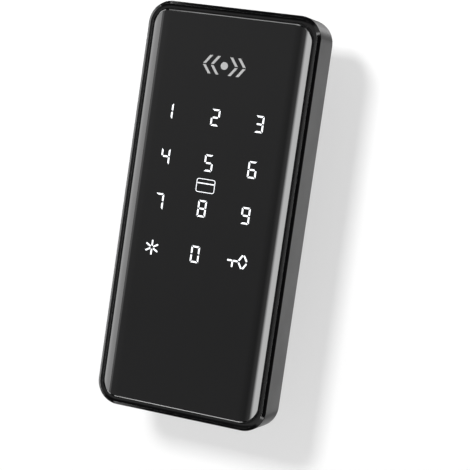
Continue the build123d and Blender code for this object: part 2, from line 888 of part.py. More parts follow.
# Geared motor and its cradle


def motor_shaft():
    bottom = spindle_z - worm_length / 2 - shaft_stub
    drawing = Circle(motor_shaft_radius)
    return upright(drawing, worm_x, gear_axis_depth, bottom, gearbox_start + motor_shaft_depth)


def gearbox():
    plate_drawing = Rectangle(gearbox_width, gearbox_height)
    core_drawing = Rectangle(
        gearbox_width - 2 * gearbox_core_inset, gearbox_height - 2 * gearbox_core_inset
    )
    body = upright(plate_drawing, worm_x, gear_axis_depth, gearbox_start, gearbox_start + gearbox_plate)
    body += upright(core_drawing, worm_x, gear_axis_depth, gearbox_start, can_start)
    body += upright(plate_drawing, worm_x, gear_axis_depth, can_start - gearbox_plate, can_start)
    bore = Circle(motor_shaft_radius + running_gap)
    top = gearbox_start + motor_shaft_depth + ring_gap
    return body - upright(bore, worm_x, gear_axis_depth, gearbox_start - overrun, top)


def motor_can():
    drawing = Circle(motor_can_radius) & Rectangle(2 * motor_can_radius, gearbox_height)
    body = upright(drawing, worm_x, gear_axis_depth, can_start, can_end)
    return body + upright(Circle(motor_cap_radius), worm_x, gear_axis_depth, can_end, terminal_start)


def motor_terminals():
    drawing = Rectangle(terminal_width, terminal_thickness)
    top = terminal_start + terminal_length
    return [
        upright(drawing, worm_x + side * terminal_offset, gear_axis_depth, terminal_start, top)
        for side in (-1, 1)
    ]


def motor_screw_columns():
    reach = gearbox_width / 2 + cradle_gap + cradle_wall / 2
    return (worm_x - reach, worm_x + reach)


def motor_screw_z():
    return cradle_start + strap_start + strap_length / 2


def motor_cradle():
    inner = gearbox_width / 2 + cradle_gap
    outer = inner + cradle_wall
    end = cradle_start + cradle_length
    walls = []
    for side in (-1, 1):
        near, far = worm_x + side * inner, worm_x + side * outer
        left, right = min(near, far), max(near, far)
        piece = block(left, right, plate_thickness, motor_front_depth, cradle_start, end)
        hole_x = (left + right) / 2
        piece -= disc(
            hole_x, motor_screw_z(), motor_screw_radius + snug_gap, 0, motor_front_depth + overrun
        )
        walls.append(piece)
    return walls


def motor_strap():
    """Steel strap across the can, screwed down through both cheeks."""
    reach = gearbox_width / 2 + cradle_gap + cradle_wall
    low = cradle_start + strap_start
    high_depth = motor_front_depth + strap_thickness
    strap = block(worm_x - reach, worm_x + reach, motor_front_depth, high_depth, low, low + strap_length)
    for x in motor_screw_columns():
        strap -= disc(x, motor_screw_z(), motor_screw_radius + snug_gap, 0, high_depth + overrun)
    return strap


def motor_screws():
    seat = motor_front_depth + strap_thickness
    return [
        front_screw(
            x, motor_screw_z(), motor_screw_head_radius, motor_screw_head, motor_screw_radius, seat,
            plate_thickness / 2,
        )
        for x in motor_screw_columns()
    ]


# Main board and what it carries


def main_board():
    leg = block(
        main_board_left, main_board_right, main_board_back_depth, main_board_front_depth,
        main_board_bottom, main_board_top,
    )
    foot = block(
        main_board_left, main_board_foot_right, main_board_back_depth, main_board_front_depth,
        main_board_bottom, main_board_foot_top,
    )
    board = leg + foot
    for x, z in standoff_places:
        board -= disc(x, z, board_screw_radius + snug_gap, 0, main_board_front_depth + overrun)
    return board


def board_standoffs():
    drawing = Circle(standoff_radius) - Circle(board_screw_radius + snug_gap)
    return [
        layer(Pos(x, z) * drawing, plate_thickness, main_board_back_depth) for x, z in standoff_places
    ]


def main_board_screws():
    seat = main_board_front_depth
    return [
        front_screw(
            x, z, board_screw_head_radius, board_screw_head, board_screw_radius, seat,
            main_board_back_depth - board_screw_grip,
        )
        for x, z in standoff_places
    ]


def on_main_board(x, z, length, width, height):
    """A block that stands on the front of the main board."""
    seat = main_board_front_depth
    left, bottom = x - length / 2, z - width / 2
    return block(left, left + length, seat, seat + height, bottom, bottom + width)


def controller_chip():
    size = controller_chip_size
    return on_main_board(controller_chip_x, controller_chip_z, size, size, controller_chip_height)


def driver_chip():
    return on_main_board(
        driver_chip_x, driver_chip_z, driver_chip_length, driver_chip_width, driver_chip_height
    )


def main_capacitor():
    size = 2 * capacitor_radius
    foot = on_main_board(capacitor_x, capacitor_z, size, size, capacitor_base)
    low = main_board_front_depth + capacitor_base
    return foot + disc(capacitor_x, capacitor_z, capacitor_radius, low, low + capacitor_height)


def buzzer():
    low = main_board_front_depth
    body = disc(main_board_middle, buzzer_z, buzzer_radius, low, low + buzzer_height)
    hole_low = low + buzzer_height - buzzer_hole_depth
    return body - disc(main_board_middle, buzzer_z, buzzer_hole_radius, hole_low, low + buzzer_height + overrun)


def ribbon_ends():
    """Depths of the ribbon where it enters the main board's and the touch board's socket."""
    return main_board_front_depth + socket_height / 2, touch_board_back_depth - socket_height / 2


def ribbon_sockets():
    low = touch_board_back_depth - socket_height
    left, bottom = main_board_middle - socket_length / 2, socket_z - socket_width / 2
    right, top = left + socket_length, bottom + socket_width
    return [
        on_main_board(main_board_middle, socket_z, socket_length, socket_width, socket_height),
        block(left, right, low, touch_board_back_depth, bottom, top),
    ]


def ribbon_cable():
    near, far = ribbon_ends()
    start_z = socket_z + socket_width / 2
    bend_z = start_z + ribbon_rise
    radius = (far - near) / 2
    path = Polyline((main_board_middle, -near, start_z), (main_board_middle, -near, bend_z))
    crest = (main_board_middle, -(near + far) / 2, bend_z + radius)
    path += ThreePointArc((main_board_middle, -near, bend_z), crest, (main_board_middle, -far, bend_z))
    path += Line((main_board_middle, -far, bend_z), (main_board_middle, -far, start_z))
    return bent_strip(path, ribbon_width, ribbon_thickness)


def motor_plug():
    return on_main_board(plug_x, plug_z, plug_length, plug_width, plug_height)


def motor_wires():
    """Two leads from the motor's terminals, over the top of the motor, down into the plug."""
    start_z = terminal_start + terminal_length
    end_z = plug_z + plug_width / 2
    wires = []
    for side, rise in zip((-1, 1), wire_rises):
        start_x = worm_x + side * terminal_offset
        end_x = plug_x - side * wire_spread
        top = start_z + rise
        corners = [(start_x, start_z), (start_x, top), (end_x, top), (end_x, end_z)]
        path = FilletPolyline(*[(x, -gear_axis_depth, z) for x, z in corners], radius=wire_bend)
        section = Plane(origin=path @ 0, z_dir=path % 0) * Circle(wire_radius)
        wires.append(sweep(section, path=path))
    return wires


# Reset switch


def reset_switch():
    low = main_board_back_depth - switch_height
    left, bottom = switch_x - switch_length / 2, switch_z - switch_width / 2
    body = block(
        left, left + switch_length, low, main_board_back_depth, bottom, bottom + switch_width
    )
    inner = low + plunger_inset
    return body - disc(switch_x, switch_z, plunger_radius + running_gap, low - overrun, inner)


def reset_plunger():
    low = main_board_back_depth - switch_height - plunger_proud
    high = low + plunger_proud + plunger_inset - seat_gap - snug_gap
    return disc(switch_x, switch_z, plunger_radius, low, high)


# Battery tray and cells


def battery_tray():
    half = tray_half_width
    floor_front = tray_back_depth + tray_floor
    bottom = -slab_height / 2
    body = block(-half, half, tray_back_depth, floor_front, tray_inner_bottom, tray_top)
    for side in (-1, 1):
        near, far = side * half, side * (half - tray_wall)
        left, right = min(near, far), max(near, far)
        body += block(left, right, tray_back_depth, tray_wall_front_depth, tray_inner_bottom, tray_top)
    body += block(-half, half, tray_back_depth, tray_wall_front_depth, tray_inner_top, tray_top)
    end = block(-half, half, tray_back_depth, tray_end_front_depth, bottom, tray_inner_bottom)
    outline = rounded(slab_width, slab_height, slab_corner)
    body += end & layer(outline, 0, panel_front_depth)
    groove_centre = bottom - nail_groove_radius + nail_groove_bite
    middle_depth = (tray_back_depth + tray_end_front_depth) / 2
    groove = Pos(0, -middle_depth, groove_centre) * Rot(0, 90, 0) * Cylinder(
        nail_groove_radius, nail_groove_length
    )
    body -= groove
    for x in (cell_columns[0], cell_columns[-1]):
        hole = Circle(terminal_post_radius + snug_gap)
        body -= upright(hole, x, cell_depth, tray_inner_top - overrun, tray_top + overrun)
    return body


def cell_faces_up(index):
    """Every other cell stands with its plus nub up."""
    return index % 2 == 0


def cell(index):
    x = cell_columns[index]
    if cell_faces_up(index):
        bottom = cell_room_bottom + spring_length
        nub_low = bottom + cell_body_length
        body_low = bottom
    else:
        nub_low = cell_room_bottom
        body_low = nub_low + cell_nub_length
    body = upright(Circle(cell_radius), x, cell_depth, body_low, body_low + cell_body_length)
    body = fillet(body.edges().filter_by(GeomType.CIRCLE), cell_edge)
    nub = upright(Circle(cell_nub_radius), x, cell_depth, nub_low, nub_low + cell_nub_length)
    return body + nub


def biarc(start, start_way, end, end_way):
    """Two arcs that leave start and reach end along the given unit directions."""
    gap = end - start
    both = start_way + end_way
    slack = 2 * (1 - start_way.dot(end_way))
    lean = gap.dot(both)
    reach = (sqrt(lean * lean + slack * gap.dot(gap)) - lean) / slack
    middle = (start + start_way * reach + end - end_way * reach) / 2
    first = TangentArc(start, middle, tangent=start_way)
    return first, TangentArc(middle, end, tangent=first % 1)


def spring_point(turn):
    """Centre line of a conical spring, standing on its large end at the origin."""
    share = turn / spring_turns
    radius = spring_large_radius + (spring_small_radius - spring_large_radius) * share
    rise = spring_wire + (spring_length - 2 * spring_wire) * share
    angle = 2 * pi * turn
    return Vector(radius * cos(angle), radius * sin(angle), rise)


def spring_way(turn):
    shrink = (spring_small_radius - spring_large_radius) / spring_turns
    radius = spring_large_radius + shrink * turn
    angle = 2 * pi * turn
    along_x = shrink * cos(angle) - 2 * pi * radius * sin(angle)
    along_y = shrink * sin(angle) + 2 * pi * radius * cos(angle)
    climb = (spring_length - 2 * spring_wire) / spring_turns
    return Vector(along_x, along_y, climb).normalized()


def contact_spring():
    turns = [i / spring_arcs_per_turn for i in range(spring_turns * spring_arcs_per_turn + 1)]
    path = Curve()
    for low, high in zip(turns, turns[1:]):
        for arc in biarc(spring_point(low), spring_way(low), spring_point(high), spring_way(high)):
            path += arc
    section = Plane(origin=spring_point(0), z_dir=spring_way(0)) * Circle(spring_wire)
    return sweep(section, path=path)


def contact_springs():
    springs = []
    for index, x in enumerate(cell_columns):
        spring = contact_spring()
        if cell_faces_up(index):
            springs.append(Pos(x, -cell_depth, cell_room_bottom) * spring)
        else:
            springs.append(Pos(x, -cell_depth, cell_room_top) * Rot(180, 0, 0) * spring)
    return springs


def spring_gap():
    """Least gap of a spring's wire to its next turn, measured on points of its centre line."""
    steps = 60
    spots = [spring_point(i / steps) for i in range(spring_turns * steps + 1)]
    least = min(
        (spots[i] - spots[j]).length
        for i in range(len(spots))
        for j in range(i + steps // 2, len(spots))
    )
    return least - 2 * spring_wire


def contact_link(first, last, low, high):
    """A flat link plate behind neighbouring cells."""
    left, right = cell_columns[first] - contact_reach, cell_columns[last] + contact_reach
    low_depth, high_depth = cell_depth - contact_half_height, cell_depth + contact_half_height
    return block(left, right, low_depth, high_depth, low, high)


def tray_links():
    return [
        contact_link(0, 1, tray_inner_bottom, cell_room_bottom),
        contact_link(2, 3, tray_inner_bottom, cell_room_bottom),
        contact_link(1, 2, cell_room_top, tray_inner_top),
    ]


def tray_terminals():
    """End contacts, riveted through the tray's top wall to a pad outside."""
    pieces = []
    for index in (0, cell_count - 1):
        x = cell_columns[index]
        piece = contact_link(index, index, cell_room_top, tray_inner_top)
        piece += upright(Circle(terminal_post_radius), x, cell_depth, tray_inner_top, tray_top)
        pad_top = tray_top + contact_thickness
        piece += upright(Circle(terminal_pad_radius), x, cell_depth, tray_top, pad_top)
        pieces.append(piece)
    return pieces


def battery_blades():
    """Leaf contacts on the main board's foot that meet the tray's pads."""
    leaf_z = tray_top + contact_thickness + blade_gap + blade_thickness / 2
    seat_y = -main_board_front_depth - blade_thickness / 2
    tip_y = -cell_depth - terminal_pad_radius
    blades = []
    for x in (cell_columns[0], cell_columns[-1]):
        corners = [(x, seat_y, main_board_bottom + blade_foot), (x, seat_y, leaf_z), (x, tip_y, leaf_z)]
        blades.append(bent_strip(FilletPolyline(*corners, radius=blade_bend), blade_width, blade_thickness))
    return blades


nodes = {
    "housing": housing(),
    "touch_panel": touch_panel(),
    "panel_seal": panel_seal(),
    "key_light_guide": key_light_guide(),
    "reader_light_guide": reader_light_guide(),
    "touch_board": touch_board(),
    "key_lights": key_lights(),
    "touch_chip": touch_chip(),
    "hall_sensors": hall_sensors(),
    "antenna_coil": antenna_coil(),
    "back_plate": back_plate(),
    "back_plate_screws": back_plate_screws(),
    "neck": neck(),
    "neck_washer": neck_washer(),
    "neck_nut": neck_nut(),
    "spindle_bushes": spindle_bushes(),
    "spindle": spindle(),
    "retaining_ring": retaining_ring(),
    "cam": cam(),
    "cam_washer": cam_washer(),
    "cam_bolt": cam_bolt(),
    "worm_wheel": worm_wheel(),
    "position_magnet": position_magnet(),
    "worm": worm(),
    "motor_shaft": motor_shaft(),
    "gearbox": gearbox(),
    "motor_can": motor_can(),
    "motor_terminals": motor_terminals(),
    "motor_cradle": motor_cradle(),
    "motor_strap": motor_strap(),
    "motor_screws": motor_screws(),
    "main_board": main_board(),
    "board_standoffs": board_standoffs(),
    "main_board_screws": main_board_screws(),
    "controller_chip": controller_chip(),
    "driver_chip": driver_chip(),
    "main_capacitor": main_capacitor(),
    "buzzer": buzzer(),
    "ribbon_sockets": ribbon_sockets(),
    "ribbon_cable": ribbon_cable(),
    "motor_plug": motor_plug(),
    "motor_wires": motor_wires(),
    "reset_switch": reset_switch(),
    "reset_plunger": reset_plunger(),
    "battery_tray": battery_tray(),
    "contact_springs": contact_springs(),
    "tray_links": tray_links(),
    "tray_terminals": tray_terminals(),
    "battery_blades": battery_blades(),
}
for index in range(cell_count):
    nodes[f"cell_{index + 1}"] = cell(index)

os.makedirs("parts", exist_ok=True)
for name, shape in nodes.items():
    solids = [solid for piece in (shape if isinstance(shape, list) else [shape]) for solid in piece.solids()]
    export_step(Compound(children=solids) if len(solids) > 1 else solids[0], f"parts/{name}.step")
    print(f"{name}: {len(solids)} solids, {sum(solid.volume for solid in solids):.2f} mm3")
print(f"spring gap {spring_gap():.3f} mm")
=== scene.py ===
# %% [markdown]
# # An electronic cabinet lock, dressed in Blender
# The lock is a slim black slab on the outside of a cabinet door. A threaded neck goes through the
# door, and a geared motor inside the slab turns a latch cam behind it. The exact solids come from
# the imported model, so this script only adds what the eye needs: finishes, lit signs, threads and
# softened edges. Everything is in metres, in the solids' own frame.

# %% Load the frame
import json
from math import cos, hypot, pi, radians, sin, tan

import bmesh
import bpy
from mathutils import Matrix, Vector


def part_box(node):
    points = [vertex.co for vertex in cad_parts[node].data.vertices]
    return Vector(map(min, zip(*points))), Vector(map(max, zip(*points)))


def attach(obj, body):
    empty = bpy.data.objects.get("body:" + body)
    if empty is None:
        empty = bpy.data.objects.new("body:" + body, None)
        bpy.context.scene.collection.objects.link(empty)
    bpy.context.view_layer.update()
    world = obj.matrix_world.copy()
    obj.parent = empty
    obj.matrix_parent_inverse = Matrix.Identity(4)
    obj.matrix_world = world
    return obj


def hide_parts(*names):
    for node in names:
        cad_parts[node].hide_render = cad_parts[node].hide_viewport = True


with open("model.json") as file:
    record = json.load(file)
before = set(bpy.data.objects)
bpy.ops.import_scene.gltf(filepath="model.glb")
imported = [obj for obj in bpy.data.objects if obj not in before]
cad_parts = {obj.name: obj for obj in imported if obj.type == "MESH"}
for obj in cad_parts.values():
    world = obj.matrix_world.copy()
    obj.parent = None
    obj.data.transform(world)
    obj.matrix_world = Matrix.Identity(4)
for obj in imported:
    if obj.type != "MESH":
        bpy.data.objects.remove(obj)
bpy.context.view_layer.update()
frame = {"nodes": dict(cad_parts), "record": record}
MM = 0.001
SLOT_OF = {part["node"]: part["material_slot"] for part in frame["record"]["subparts"]}


def in_scene(name, data):
    """A new object of the scene that shows a mesh, a lamp or a camera."""
    item = bpy.data.objects.new(name, data)
    bpy.context.scene.collection.objects.link(item)
    return item


# %% [markdown]
# ## The camera
# The photograph looks at the front from a little to the right and above, rolled a few degrees,
# through a long lens. The numbers come from fitting a camera to the slab's outline and the middles
# of the key signs. Placing a camera by eye would be quicker, but every edge would be pixels off.

# %% Camera
IMAGE_WIDTH = 470
FOCAL_PIXELS = 1589.618
SENSOR_MM = 36.0
TURN, PITCH, ROLL = radians(19.877), radians(3.662), radians(8.284)
SHIFT_RIGHT, SHIFT_UP, DISTANCE = -11.043, 5.179, 516.051
PANEL_FRONT = -16.0

right = Vector((cos(TURN), sin(TURN), 0))
forward = Vector((-sin(TURN) * cos(PITCH), cos(TURN) * cos(PITCH), -sin(PITCH)))
up = Vector((-sin(TURN) * sin(PITCH), cos(TURN) * sin(PITCH), cos(PITCH)))
eye = -(right * SHIFT_RIGHT + forward * DISTANCE + up * SHIFT_UP) + Vector((0, PANEL_FRONT, 0))
image_right = right * cos(ROLL) + up * sin(ROLL)
image_up = up * cos(ROLL) - right * sin(ROLL)

camera = in_scene("camera", bpy.data.cameras.new("camera"))
axes = Matrix((image_right, image_up, -forward)).transposed()
camera.matrix_world = Matrix.Translation(eye * MM) @ axes.to_4x4()
camera.data.sensor_width = SENSOR_MM
camera.data.lens = FOCAL_PIXELS / IMAGE_WIDTH * SENSOR_MM
bpy.context.scene.camera = camera
bpy.context.scene.view_settings.view_transform = "Standard"
print("camera at", [round(value, 1) for value in eye], "mm, lens", round(camera.data.lens, 1))

# %% [markdown]
# ## Two small helpers for materials
# Colours are written as sRGB hex values, as a paint chart gives them, and turned to linear values.
# A node is added with its settings and inputs in one line; an input is a value or a node's output.

# %% Colour and node helpers
def linear(code):
    """A hex colour such as 2b2b2d as linear red, green, blue and alpha."""
    parts = [int(code[i:i + 2], 16) / 255 for i in (0, 2, 4)]
    return tuple(c / 12.92 if c <= 0.04045 else ((c + 0.055) / 1.055) ** 2.4 for c in parts) + (1.0,)


def add(tree, kind, inputs=None, **settings):
    """Adds a node, sets its properties, and fills or links its inputs."""
    node = tree.nodes.new(kind)
    for name, value in settings.items():
        setattr(node, name, value)
    for key, value in (inputs or {}).items():
        if isinstance(value, bpy.types.NodeSocket):
            tree.links.new(value, node.inputs[key])
        else:
            node.inputs[key].default_value = value
    return node


def math(tree, operation, first, second=0.0):
    """The output of an arithmetic node."""
    return add(tree, "ShaderNodeMath", {0: first, 1: second}, operation=operation).outputs[0]


print("black of the panel in linear light", [round(value, 4) for value in linear("0a0a0b")[:3]])

# %% [markdown]
# ## The studio
# The photograph is white all round, with one soft shadow to the right of and below the lock. A pale
# backdrop just behind the cam takes that shadow. More light could make it white, but would wash out
# the lock, so part of its paleness is for camera rays alone. Only the camera sees it, and only from
# the front, so that the lock can be looked at from behind too.

# %% Backdrop and floor
BACKDROP_Y, BACKDROP_GREY, BACKDROP_GLOW = 30.0, "a2a2a2", 0.55
FLOOR_Z, FLOOR_GREY, FLOOR_GLOW = -600.0, "dcdcdc", 0.4
STAGE_HALF = 3000.0
SQUARE = [(x * STAGE_HALF, y * STAGE_HALF) for x, y in ((-1, -1), (1, -1), (1, 1), (-1, 1))]


def blank_tree(owner):
    """The emptied node tree of a material or a world."""
    owner.use_nodes = True
    owner.node_tree.nodes.clear()
    return owner.node_tree


def stage_sheet(name, corners, material):
    """A single face of the studio, with its corners in millimetres."""
    mesh = bpy.data.meshes.new(name)
    mesh.from_pydata([[value * MM for value in corner] for corner in corners], [], [(0, 1, 2, 3)])
    mesh.materials.append(material)
    sheet = in_scene(name, mesh)
    return sheet


def stage_paper(name, grey, glow, one_way):
    """Matt paper: grey is what light gives it, and glow is added for the camera alone."""
    material = bpy.data.materials.new(name)
    tree = blank_tree(material)
    paper = add(tree, "ShaderNodeBsdfDiffuse", {"Color": linear(grey)})
    path = add(tree, "ShaderNodeLightPath")
    light = math(tree, "MULTIPLY", path.outputs["Is Camera Ray"], glow)
    shine = add(tree, "ShaderNodeEmission", {"Strength": light})
    both = add(tree, "ShaderNodeAddShader", {0: paper.outputs[0], 1: shine.outputs[0]})
    if one_way:
        side = add(tree, "ShaderNodeNewGeometry")
        clear = add(tree, "ShaderNodeBsdfTransparent")
        both = add(tree, "ShaderNodeMixShader", {
            0: side.outputs["Backfacing"], 1: both.outputs[0], 2: clear.outputs[0]})
    add(tree, "ShaderNodeOutputMaterial", {"Surface": both.outputs[0]})
    return material


backdrop = stage_sheet(
    "backdrop", [(x, BACKDROP_Y, z) for x, z in SQUARE],
    stage_paper("backdrop paper", BACKDROP_GREY, BACKDROP_GLOW, True))
for sight in ("visible_diffuse", "visible_glossy", "visible_transmission", "visible_shadow"):
    setattr(backdrop, sight, False)
floor = stage_sheet(
    "floor", [(x, y, FLOOR_Z) for x, y in SQUARE], stage_paper("floor paper", FLOOR_GREY, FLOOR_GLOW, False))
floor.visible_glossy = False
print("backdrop", BACKDROP_Y, "mm behind the door face")

# %% [markdown]
# ## What mirrors see
# A glossy black panel shows the room more than its own colour: its middle mirrors what is in front,
# its curved long edges what is to the left and right, and the bevels on its short edges what is
# above and below. So mirrors see a dim room in front with a bright card to the right, a narrow one
# far to the left, one above and one below, and white behind with two dark cards before it. Lamps
# could draw these cards too, but each would also grey the black plastic.
#
# A card is a product of edges. Each edge names a share of the direction (to the right, to the rear,
# to the top, or away from a level line), where on it the edge starts and ends, and the level before
# and after it. Edges are soft unless they say LINEAR.

# %% Cards in the world shader
AMBIENT = 0.55
LEVEL_LINES = {"off_level": 0.0, "off_room": -0.06, "off_corner": -0.04}
RIGHT_HEIGHT, SIDE_END = ("off_level", 0.4, 0.62, 1.0, 0.06), ("to_right", 0.79, 0.84, 1.0, 0.003)
CARDS = {
    "room": (
        ("to_right", -0.5, 0.1, 0.46, 0.3, "LINEAR"), ("to_top", -0.12, 0.05, 1.0, 1.25, "LINEAR"),
        ("off_room", 0.15, 0.24, 1.0, 0.08), SIDE_END),
    "left card": (("to_right", -0.87, -0.81, 0.0, 1.0), ("to_right", -0.77, -0.73, 1.0, 0.0)),
    "right glow": (("to_right", 0.1, 0.45, 0.0, 0.6), RIGHT_HEIGHT, SIDE_END),
    "right card": (("to_right", 0.38, 0.57, 0.0, 10.4), RIGHT_HEIGHT, SIDE_END),
    "end cards": (
        ("off_level", 0.76, 0.8, 0.0, 1.0), ("off_level", 0.885, 0.915, 1.0, 0.0),
        ("to_right", -0.52, -0.4, 0.0, 1.0), ("to_right", -0.05, 0.2, 1.0, 0.0),
        ("to_top", -0.1, 0.1, 14.0, 8.5, "LINEAR")),
    "rear": (("to_right", -0.5, 0.3, 1.3, 0.8, "LINEAR"), ("off_level", 0.25, 0.6, 1.0, 0.05)),
    "dark corner": (("to_right", 0.08, 0.18, 0.0, 0.85), ("off_corner", 0.16, 0.24, 0.0, 1.0)),
    "dark rim": (("to_right", -0.62, -0.5, 0.0, 0.95), ("to_right", -0.27, -0.17, 1.0, 0.0)),
    "rear share": (("to_rear", -0.15, 0.25, 0.0, 1.0),),
}

world = bpy.data.worlds.new("studio")
bpy.context.scene.world = world
tree = blank_tree(world)
direction = add(tree, "ShaderNodeSeparateXYZ", {0: add(tree, "ShaderNodeTexCoord").outputs["Generated"]})
shares = dict(zip(("to_right", "to_rear", "to_top"), direction.outputs))
for name, height in LEVEL_LINES.items():
    shares[name] = math(tree, "ABSOLUTE", math(tree, "SUBTRACT", shares["to_top"], height))

levels = {}
for name, edges in CARDS.items():
    level = 1.0
    for share, start, end, before, after, *kind in edges:
        edge = add(tree, "ShaderNodeMapRange", {
            "Value": shares[share], "From Min": start, "From Max": end, "To Min": before, "To Max": after},
            interpolation_type=kind[0] if kind else "SMOOTHSTEP")
        level = math(tree, "MULTIPLY", edge.outputs[0], level)
    levels[name] = level
print("world of", len(CARDS), "cards")

# %% [markdown]
# ## The cards together
# The cards in front add up, and the end cards outshine them. Behind, the dark cards take light away.
# Only mirrored rays see this: the camera and rays through clear material see plain white, and soft
# light gets one even level, so that a card can change without changing the black plastic.

# %% Which ray sees what
rays = add(tree, "ShaderNodeLightPath").outputs
levels["camera ray"], levels["ray through"] = rays["Is Camera Ray"], rays["Is Transmission Ray"]
for name, operation, first, second in (
        ("sides", "ADD", "room", "left card"), ("sides", "ADD", "sides", "right glow"),
        ("sides", "ADD", "sides", "right card"), ("front", "MAXIMUM", "sides", "end cards"),
        ("dark", "MAXIMUM", "dark corner", "dark rim"), ("straight", "MAXIMUM", "camera ray", "ray through")):
    levels[name] = math(tree, operation, levels[first], levels[second])
behind = add(tree, "ShaderNodeMix", {"Factor": levels["dark"], 2: levels["rear"], 3: 0.0})
mirrored = add(tree, "ShaderNodeMix", {
    "Factor": levels["rear share"], 2: levels["front"], 3: behind.outputs[0]})
bent = add(tree, "ShaderNodeMix", {"Factor": rays["Is Glossy Ray"], 2: AMBIENT, 3: mirrored.outputs[0]})
level = add(tree, "ShaderNodeMix", {"Factor": levels["straight"], 2: bent.outputs[0], 3: 1.0})
background = add(tree, "ShaderNodeBackground", {"Color": (1, 1, 1, 1), "Strength": level.outputs[0]})
add(tree, "ShaderNodeOutputWorld", {"Surface": background.outputs[0]})
print("world of", len(tree.nodes), "nodes")

# %% [markdown]
# ## The lamps
# Four lamps do what the room can't. One lights only the backdrop, from above on the left, and casts
# the lock's soft shadow on it. The others light all but the backdrop: a tall soft box for the left
# edge, one lamp above, and one behind for the cam and the nut. A single key light would be simpler,
# but then a darker shadow would always mean a brighter bezel.

# %% Lamps
LAMPS = (
    ("shadow lamp", (-84, -704, 236), (110, 110), 150.0, "INCLUDE"),
    ("left soft box", (-480, -80, 0), (420, 900), 3.9, "EXCLUDE"),
    ("upper lamp", (-420, -480, 560), (220, 220), 14.0, "EXCLUDE"),
    ("rear lamp", (260, 620, 480), (300, 300), 4.0, "EXCLUDE"),
)


def soft_box(name, place, size, radiance, state):
    """An area lamp aimed at the lock, which lights the backdrop alone (INCLUDE) or all but it (EXCLUDE)."""
    width, height = size
    lamp = bpy.data.lights.new(name, "AREA")
    lamp.shape = "RECTANGLE"
    lamp.size = width * MM
    lamp.size_y = height * MM
    lamp.energy = radiance * pi * width * height * MM * MM
    box = in_scene(name, lamp)
    box.location = Vector(place) * MM
    box.rotation_mode = "QUATERNION"
    box.rotation_quaternion = (-Vector(place)).to_track_quat("-Z", "Y")
    box.visible_camera = False
    receivers = bpy.data.collections.new(name + " receivers")
    receivers.objects.link(backdrop)
    receivers.collection_objects[0].light_linking.link_state = state
    box.light_linking.receiver_collection = receivers


for lamp_row in LAMPS:
    soft_box(*lamp_row)
print(len(LAMPS), "lamps")

# %% [markdown]
# ## Finishes
# Nearly every surface is moulded plastic, plated or turned metal, lacquered board or film. One
# recipe draws them all: a noise as coarse as the real grain mixes two close tones, varies the gloss
# and lifts the surface by a few thousandths of a millimetre. Stretched along one axis it gives
# turning marks. Image textures could do this too, but they stop at their own resolution.

# %% The common recipe
CLOUD_SIZE, TONE_SPAN, GLOSS_SPAN = 14.0, (0.6, 1.4), (0.7, 1.3)


def surface(name, dark, light, grain, lift, gloss, metallic=0.0, stretch=(1, 1, 1), **sockets):
    """One finish: two tones, grain and lift in millimetres, least and most roughness, and sockets."""
    material = bpy.data.materials.new(name)
    tree = blank_tree(material)
    place = add(tree, "ShaderNodeTexCoord")
    spread = add(tree, "ShaderNodeMapping", {"Vector": place.outputs["Object"], "Scale": stretch})
    noise = add(tree, "ShaderNodeTexNoise", {
        "Vector": spread.outputs[0], "Scale": 1 / (grain * MM), "Detail": 4.0, "Roughness": 0.6})
    cloud = add(tree, "ShaderNodeTexNoise", {
        "Vector": place.outputs["Object"], "Scale": 1 / (CLOUD_SIZE * MM), "Detail": 2.0})
    both = math(tree, "ADD", noise.outputs[0], cloud.outputs[0])
    share = add(tree, "ShaderNodeMapRange", {
        "Value": both, "From Min": TONE_SPAN[0], "From Max": TONE_SPAN[1]})
    tone = add(tree, "ShaderNodeMix", {
        "Factor": share.outputs[0], 6: linear(dark), 7: linear(light)}, data_type="RGBA")
    rough = add(tree, "ShaderNodeMapRange", {
        "Value": both, "From Min": GLOSS_SPAN[0], "From Max": GLOSS_SPAN[1],
        "To Min": gloss[0], "To Max": gloss[1]})
    bump = add(tree, "ShaderNodeBump", {"Height": noise.outputs[0], "Distance": lift * MM, "Strength": 1.0})
    shader = add(tree, "ShaderNodeBsdfPrincipled", {
        "Base Color": tone.outputs[2], "Roughness": rough.outputs[0], "Metallic": metallic,
        "Normal": bump.outputs[0]})
    for socket, value in sockets.items():
        shader.inputs[socket.replace("_", " ")].default_value = value
    add(tree, "ShaderNodeOutputMaterial", {"Surface": shader.outputs[0]})
    return material


def found(material, kind):
    """A finish's own node of a kind, to build on."""
    return next(node for node in material.node_tree.nodes if node.type == kind)


MATERIALS = {}


def finish(slot, *recipe, **sockets):
    MATERIALS[slot] = surface(*recipe, **sockets)


print("recipe ready")

# %% [markdown]
# ## Black plastics
# The housing and the battery tray are ABS, moulded against a finely spark-eroded tool, so they are
# satin with a grain of about a quarter of a millimetre. The tool is polished where it forms the
# bezel. The panel is cast acrylic, printed black behind: it has next to no grain and a deep gloss.

# %% Housing, tray and panel
finish("housing", "ABS, satin moulded", "0b0b0c", "121213", 0.25, 0.004, (0.3, 0.38), IOR=1.52)
finish("bezel", "ABS, polished mould", "060607", "0a0a0b", 0.3, 0.0004, (0.06, 0.09), IOR=1.52)
finish("tray_plastic", "ABS, satin moulded, tray", "101012", "19191b", 0.25, 0.006, (0.36, 0.46),
       IOR=1.52)
finish("cradle_plastic", "glass filled nylon, moulded", "17171a", "232327", 0.5, 0.012, (0.42, 0.55),
       IOR=1.53)
finish("plunger_plastic", "acetal, black moulded", "131314", "1c1c1e", 0.2, 0.003, (0.3, 0.38), IOR=1.48)
finish("panel", "acrylic, cast and polished, printed black behind", "0a0a0b", "0c0c0d", 6.0, 0.0006,
       (0.035, 0.05), IOR=1.49)
# Near-black, with its reflection turned down. It also colours the painted shade ring on the groove's floor
# below.
finish("seal", "acrylic foam tape", "020202", "060606", 0.3, 0.03, (0.8, 0.95), IOR=1.47,
       Specular_IOR_Level=0.12)
print("black plastics")

